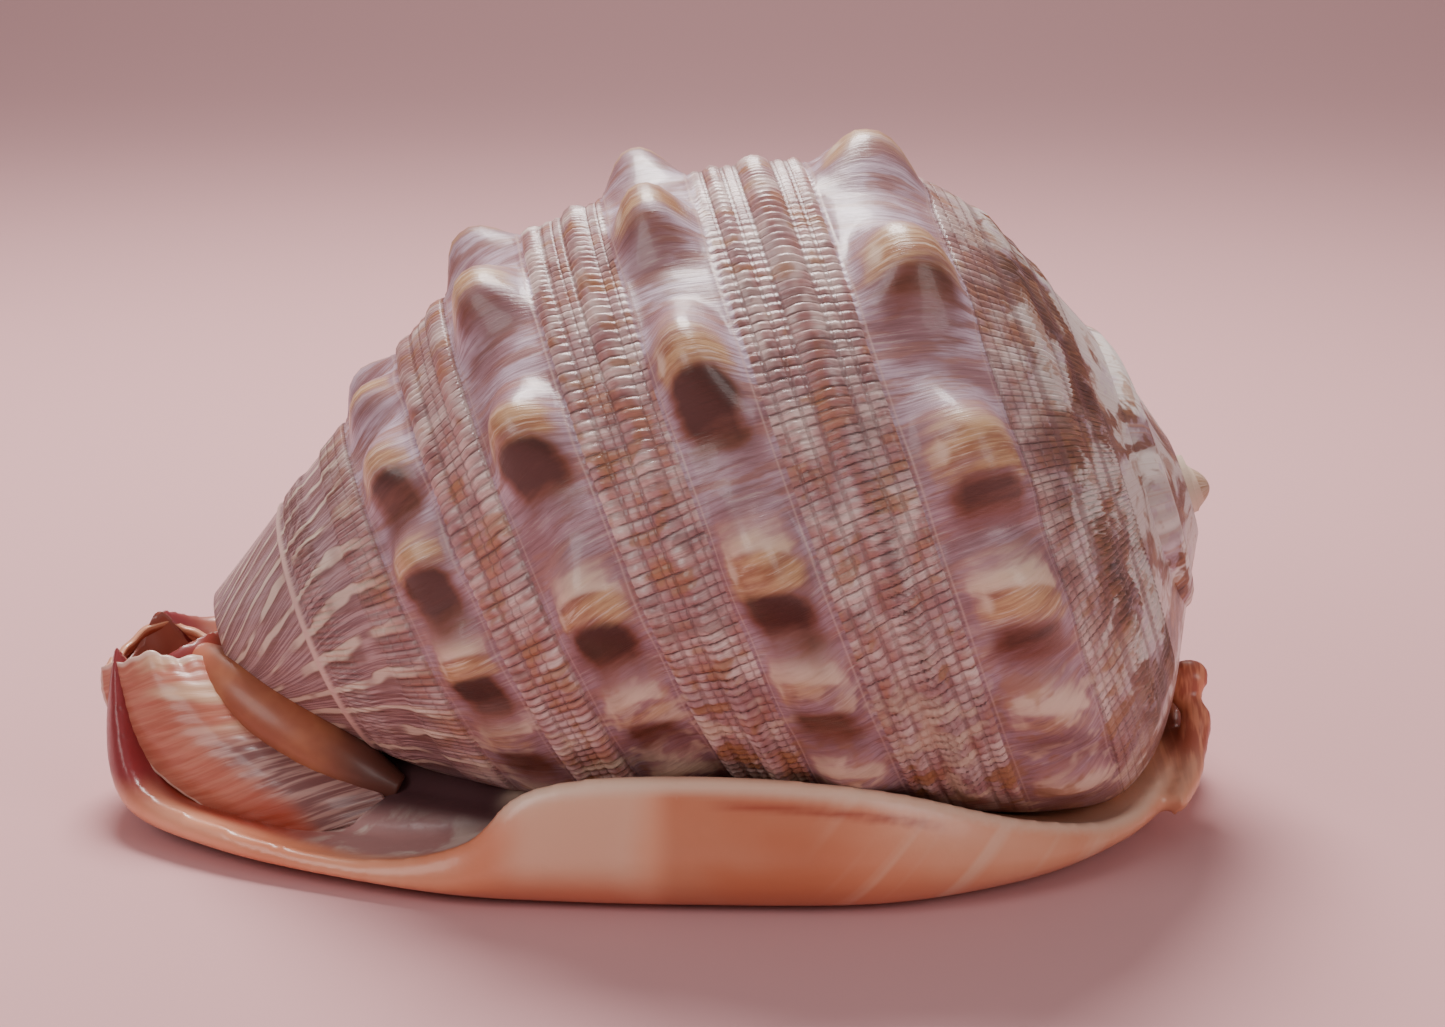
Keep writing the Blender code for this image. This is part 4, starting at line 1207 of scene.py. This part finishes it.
# %% Callus and horn
def callus_finish():
    make = Finish("callus_shell")
    where = make.place()
    split = make.tree.nodes.new("ShaderNodeSeparateXYZ")
    make.put(split.inputs[0], where)
    x, y, z = split.outputs
    cloud = make.noise(where, 0.035, 3.0, 0.5, 0.3)
    fine = make.noise(where, 0.4, 3.0, 0.6)
    colour = make.mix(make.band(cloud, 0.40, 0.62), SALMON, PEACH)
    # A paler worn patch between the front hollow and the middle
    wander = make.times(make.sum("SUBTRACT", cloud, 0.5), 16.0)
    east = make.band(make.sum("ADD", x, wander), 3.0, -4.0)
    west = make.band(make.sum("ADD", x, wander), -24.0, -17.0)
    near = make.band(y, -30.0, -36.0)
    pale = make.times(make.times(east, west), make.times(near, make.band(z, 2.0, 8.0)))
    colour = make.lay(colour, pale, 0.75, PALE_PEACH)
    burnt = make.times(make.band(x, -1.0, 3.0), make.band(x, 30.0, 18.0))
    colour = make.lay(colour, make.times(burnt, near), 0.5, BURNT_ORANGE)
    # Slanting pale stripes on the rear part
    slant = make.sum("MULTIPLY_ADD", z, -0.9, x)
    rays = make.noise(make.point(slant, make.times(z, 0.06)), 0.16, 2.0)
    rays = make.times(make.band(rays, 0.50, 0.62), make.times(make.band(x, 18.0, 30.0), near))
    colour = make.lay(colour, rays, 0.65, PALE_PEACH)
    # Inside the front of the rim: red, then mottled cream, then dark under the whorl, where dark brown
    # pigment and painted shade are laid together
    inward = make.sum("ADD", make.mark("inward"), make.times(make.sum("SUBTRACT", cloud, 0.5), 7.0))
    floor = make.times(make.band(inward, 2.5, 6.0), make.band(x, -12.0, -19.0))
    floor = make.times(floor, make.band(y, 8.0, -2.0))
    mottle = make.mix(make.band(make.noise(where, 0.11, 4.0, 0.6, 0.8), 0.42, 0.58), BEAD_PINK, CHALK)
    floor_colour = make.mix(make.band(x, -40.0, -52.0), mottle, DEEP_RED)
    colour = make.mix(floor, colour, floor_colour)
    curled = make.times(make.band(x, 62.0, 72.0), make.band(z, 6.0, 11.0))
    curled = make.times(curled, make.band(y, 8.0, 0.0))
    streaks = make.noise(make.point(make.times(z, 0.25), x), 0.9, 2.0)
    lined = make.mix(make.band(streaks, 0.42, 0.6), DEEP_RED, SALMON)
    colour = make.lay(colour, curled, 0.8, lined)
    # Painted shade over dark brown pigment, deep in the hollow under the whorl
    deep = make.times(make.band(inward, 11.0, 16.0), make.band(x, -43.0, -38.0))
    deep = make.times(deep, make.times(make.band(z, 1.5, 3.5), make.band(y, 12.0, 4.0)))
    colour = make.mix(deep, colour, GAP_SHADE_BROWN)
    flange = make.times(make.band(x, -60.0, -68.0), make.band(z, 4.5, 9.0))
    flange = make.times(flange, make.band(y, 22.0, 8.0))
    colour = make.mix(flange, colour, CRIMSON)
    colour = make.lay(colour, make.mark("rim"), 0.8, CREAM)
    colour = make.lay(colour, make.mark("fold"), 0.8, DEEP_RED)
    inside = make.mix(make.band(cloud, 0.42, 0.6), INNER_CREAM, INNER_RED)
    colour = make.mix(make.band(make.mark("outside"), 0.35, 0.65), inside, colour)
    normal = make.bump(fine, 0.00012, 0.5)
    return make.finish(colour, make.sum("MULTIPLY_ADD", fine, 0.2, 0.24), normal, 0.2)


# %% [markdown]
# The fan's rings follow its rim: terracotta at the outer edge, with a painted highlight as a pale line
# along the rim itself, cream streaks near the top, and brown and white rings further down. The ridge
# turns from golden orange to brown on its way down, and its lower end, which runs in towards the whorl,
# is painted nearly black as shade.

# %% Front canal
def fan_finish():
    make = Finish("fan_shell")
    down, across = make.mark("down"), make.mark("across")
    bowed = make.sum("ADD", down, make.times(across, 0.10))
    rings = make.noise(make.point(make.times(across, 1.1), make.times(bowed, 30.0)), 1.0, 3.0, 0.6)
    broad = make.noise(make.point(make.times(across, 1.4), make.times(bowed, 9.0), 3.0), 1.0, 2.0)
    colour = make.mix(make.band(rings, 0.40, 0.66), FAN_DARK, FAN_LIGHT)
    pale = make.times(make.band(broad, 0.42, 0.60), make.band(across, 0.22, 0.55))
    pale = make.times(pale, make.band(down, 0.50, 0.28))
    colour = make.lay(colour, pale, 0.8, FAN_CREAM)
    lower = make.times(make.band(down, 0.36, 0.54), make.band(across, 0.38, 0.66))
    ringed = make.mix(make.band(rings, 0.44, 0.62), RING_DARK, RING_PALE)
    colour = make.lay(colour, lower, 0.9, ringed)
    low_left = make.times(make.band(down, 0.66, 0.86), make.band(across, 0.62, 0.40))
    colour = make.lay(colour, low_left, 0.9, DEEP_RED)
    # Painted highlight: a pale line along the fan's rim and front edge
    edge = make.sum("MAXIMUM", make.band(across, 0.030, 0.012), make.band(down, 0.035, 0.012))
    colour = make.lay(colour, edge, 0.75, FAN_RIM_HIGHLIGHT)
    roughness = make.sum("MULTIPLY_ADD", rings, 0.2, 0.26)
    return make.finish(colour, roughness, make.bump(rings, 0.0002, 0.45), 0.15)


def beak_finish():
    make = Finish("beak_shell")
    fine = make.noise(make.place(), 0.3, 3.0)
    colour = make.mix(make.band(fine, 0.42, 0.62), DEEP_RED, BEAK_RED)
    colour = make.mix(make.band(make.mark("down"), 0.06, 0.02), colour, PEACH)
    return make.finish(colour, make.sum("MULTIPLY_ADD", fine, 0.2, 0.2), make.bump(fine, 0.00015, 0.5), 0.3)


def ridge_finish():
    make = Finish("ridge_shell")
    down = make.mark("down")
    fine = make.noise(make.place(), 0.16, 3.0)
    colour = make.mix(make.band(fine, 0.38, 0.64), RIDGE_DARK, RIDGE_WARM)
    colour = make.mix(make.band(down, 0.22, 0.02), colour, RIDGE_TOP)
    # Painted shade: the ridge's lower end, which runs in towards the whorl, goes nearly black
    colour = make.mix(make.band(down, 0.62, 0.92), colour, RIDGE_FOOT_SHADE)
    roughness = make.sum("MULTIPLY_ADD", fine, 0.2, 0.30)
    return make.finish(colour, roughness, make.bump(fine, 0.00015, 0.5), 0.08)


# %% [markdown]
# Each piece gets its material before the cuts, so that the cut faces take it over too. Then the three
# cutters go through the whorl, the callus and the spire, and are deleted.

# %% Cut the mouth
FINISHES = (
    (whorl, whorl_finish), (spire, spire_finish), (callus, callus_finish), (fan, fan_finish),
    (beak, beak_finish), (ridge, ridge_finish),
)
for thing, finish in FINISHES:
    thing.data.materials.append(finish())
for thing in (whorl, callus, spire):
    for cutter in cutters:
        boolean(thing, cutter)
for cutter in cutters:
    bpy.data.objects.remove(cutter)

# %% [markdown]
# Short ridges, the teeth, stand across both edges of the slot. Each is a stretched sphere that lies
# half in the wall, and a union Boolean makes it one with the callus. The photo hides them, so they
# follow the CAD solid.

# %% Teeth
TOOTH_WIDTH, TOOTH_LENGTH, TOOTH_HEIGHT = 2.6, 7.0, 4.0
TOOTH_MIDDLE, TOOTH_PITCH, TOOTH_STANDS = 2.6, 5.0, 1.2
TEETH_FROM, TEETH_TO = -48.0, 41.0


def make_teeth():
    teeth = []
    for index in range(int((TEETH_TO - TEETH_FROM) / TOOTH_PITCH)):
        x = TEETH_TO - TOOTH_PITCH * index
        middle, half = smooth_rows(SLOT, x)[0]
        for side in (-1.0, 1.0):
            y = middle + side * (half - TOOTH_STANDS + TOOTH_LENGTH / 2.0)
            deselect()
            bpy.ops.mesh.primitive_uv_sphere_add(
                segments=16, ring_count=10, radius=0.5 * MM, location=to_frame((x, y, TOOTH_MIDDLE)))
            bpy.context.object.scale = (TOOTH_WIDTH, TOOTH_LENGTH, TOOTH_HEIGHT)
            bpy.ops.object.transform_apply(location=True, rotation=False, scale=True)
            teeth.append(bpy.context.object)
    print("teeth:", len(teeth))
    return join(teeth, "teeth")


teeth = make_teeth()
boolean(callus, teeth, "UNION")
bpy.data.objects.remove(teeth)

# %% [markdown]
# Every piece rides on the one body of the shell and stands for the one CAD solid.

# %% Riding on the body
EDGE = 0.05 * MM


def keep_in_box(thing):
    """Presses the few points that stand a hair outside the CAD solid's box back into it."""
    points = np.clip(vertex_array(thing), np.array(cad_low) + EDGE, np.array(cad_high) - EDGE)
    points[:, 2] = np.maximum(points[:, 2], 0.0)
    set_vertices(thing, points)


for thing in (whorl, callus, spire, fan, beak, ridge):
    deselect()
    thing.select_set(True)
    bpy.context.view_layer.objects.active = thing
    keep_in_box(thing)
    bpy.ops.object.shade_smooth()
    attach(thing, "root")
    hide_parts(cad_node)
    print(thing.name, "triangles:", sum(len(face.vertices) - 2 for face in thing.data.polygons))
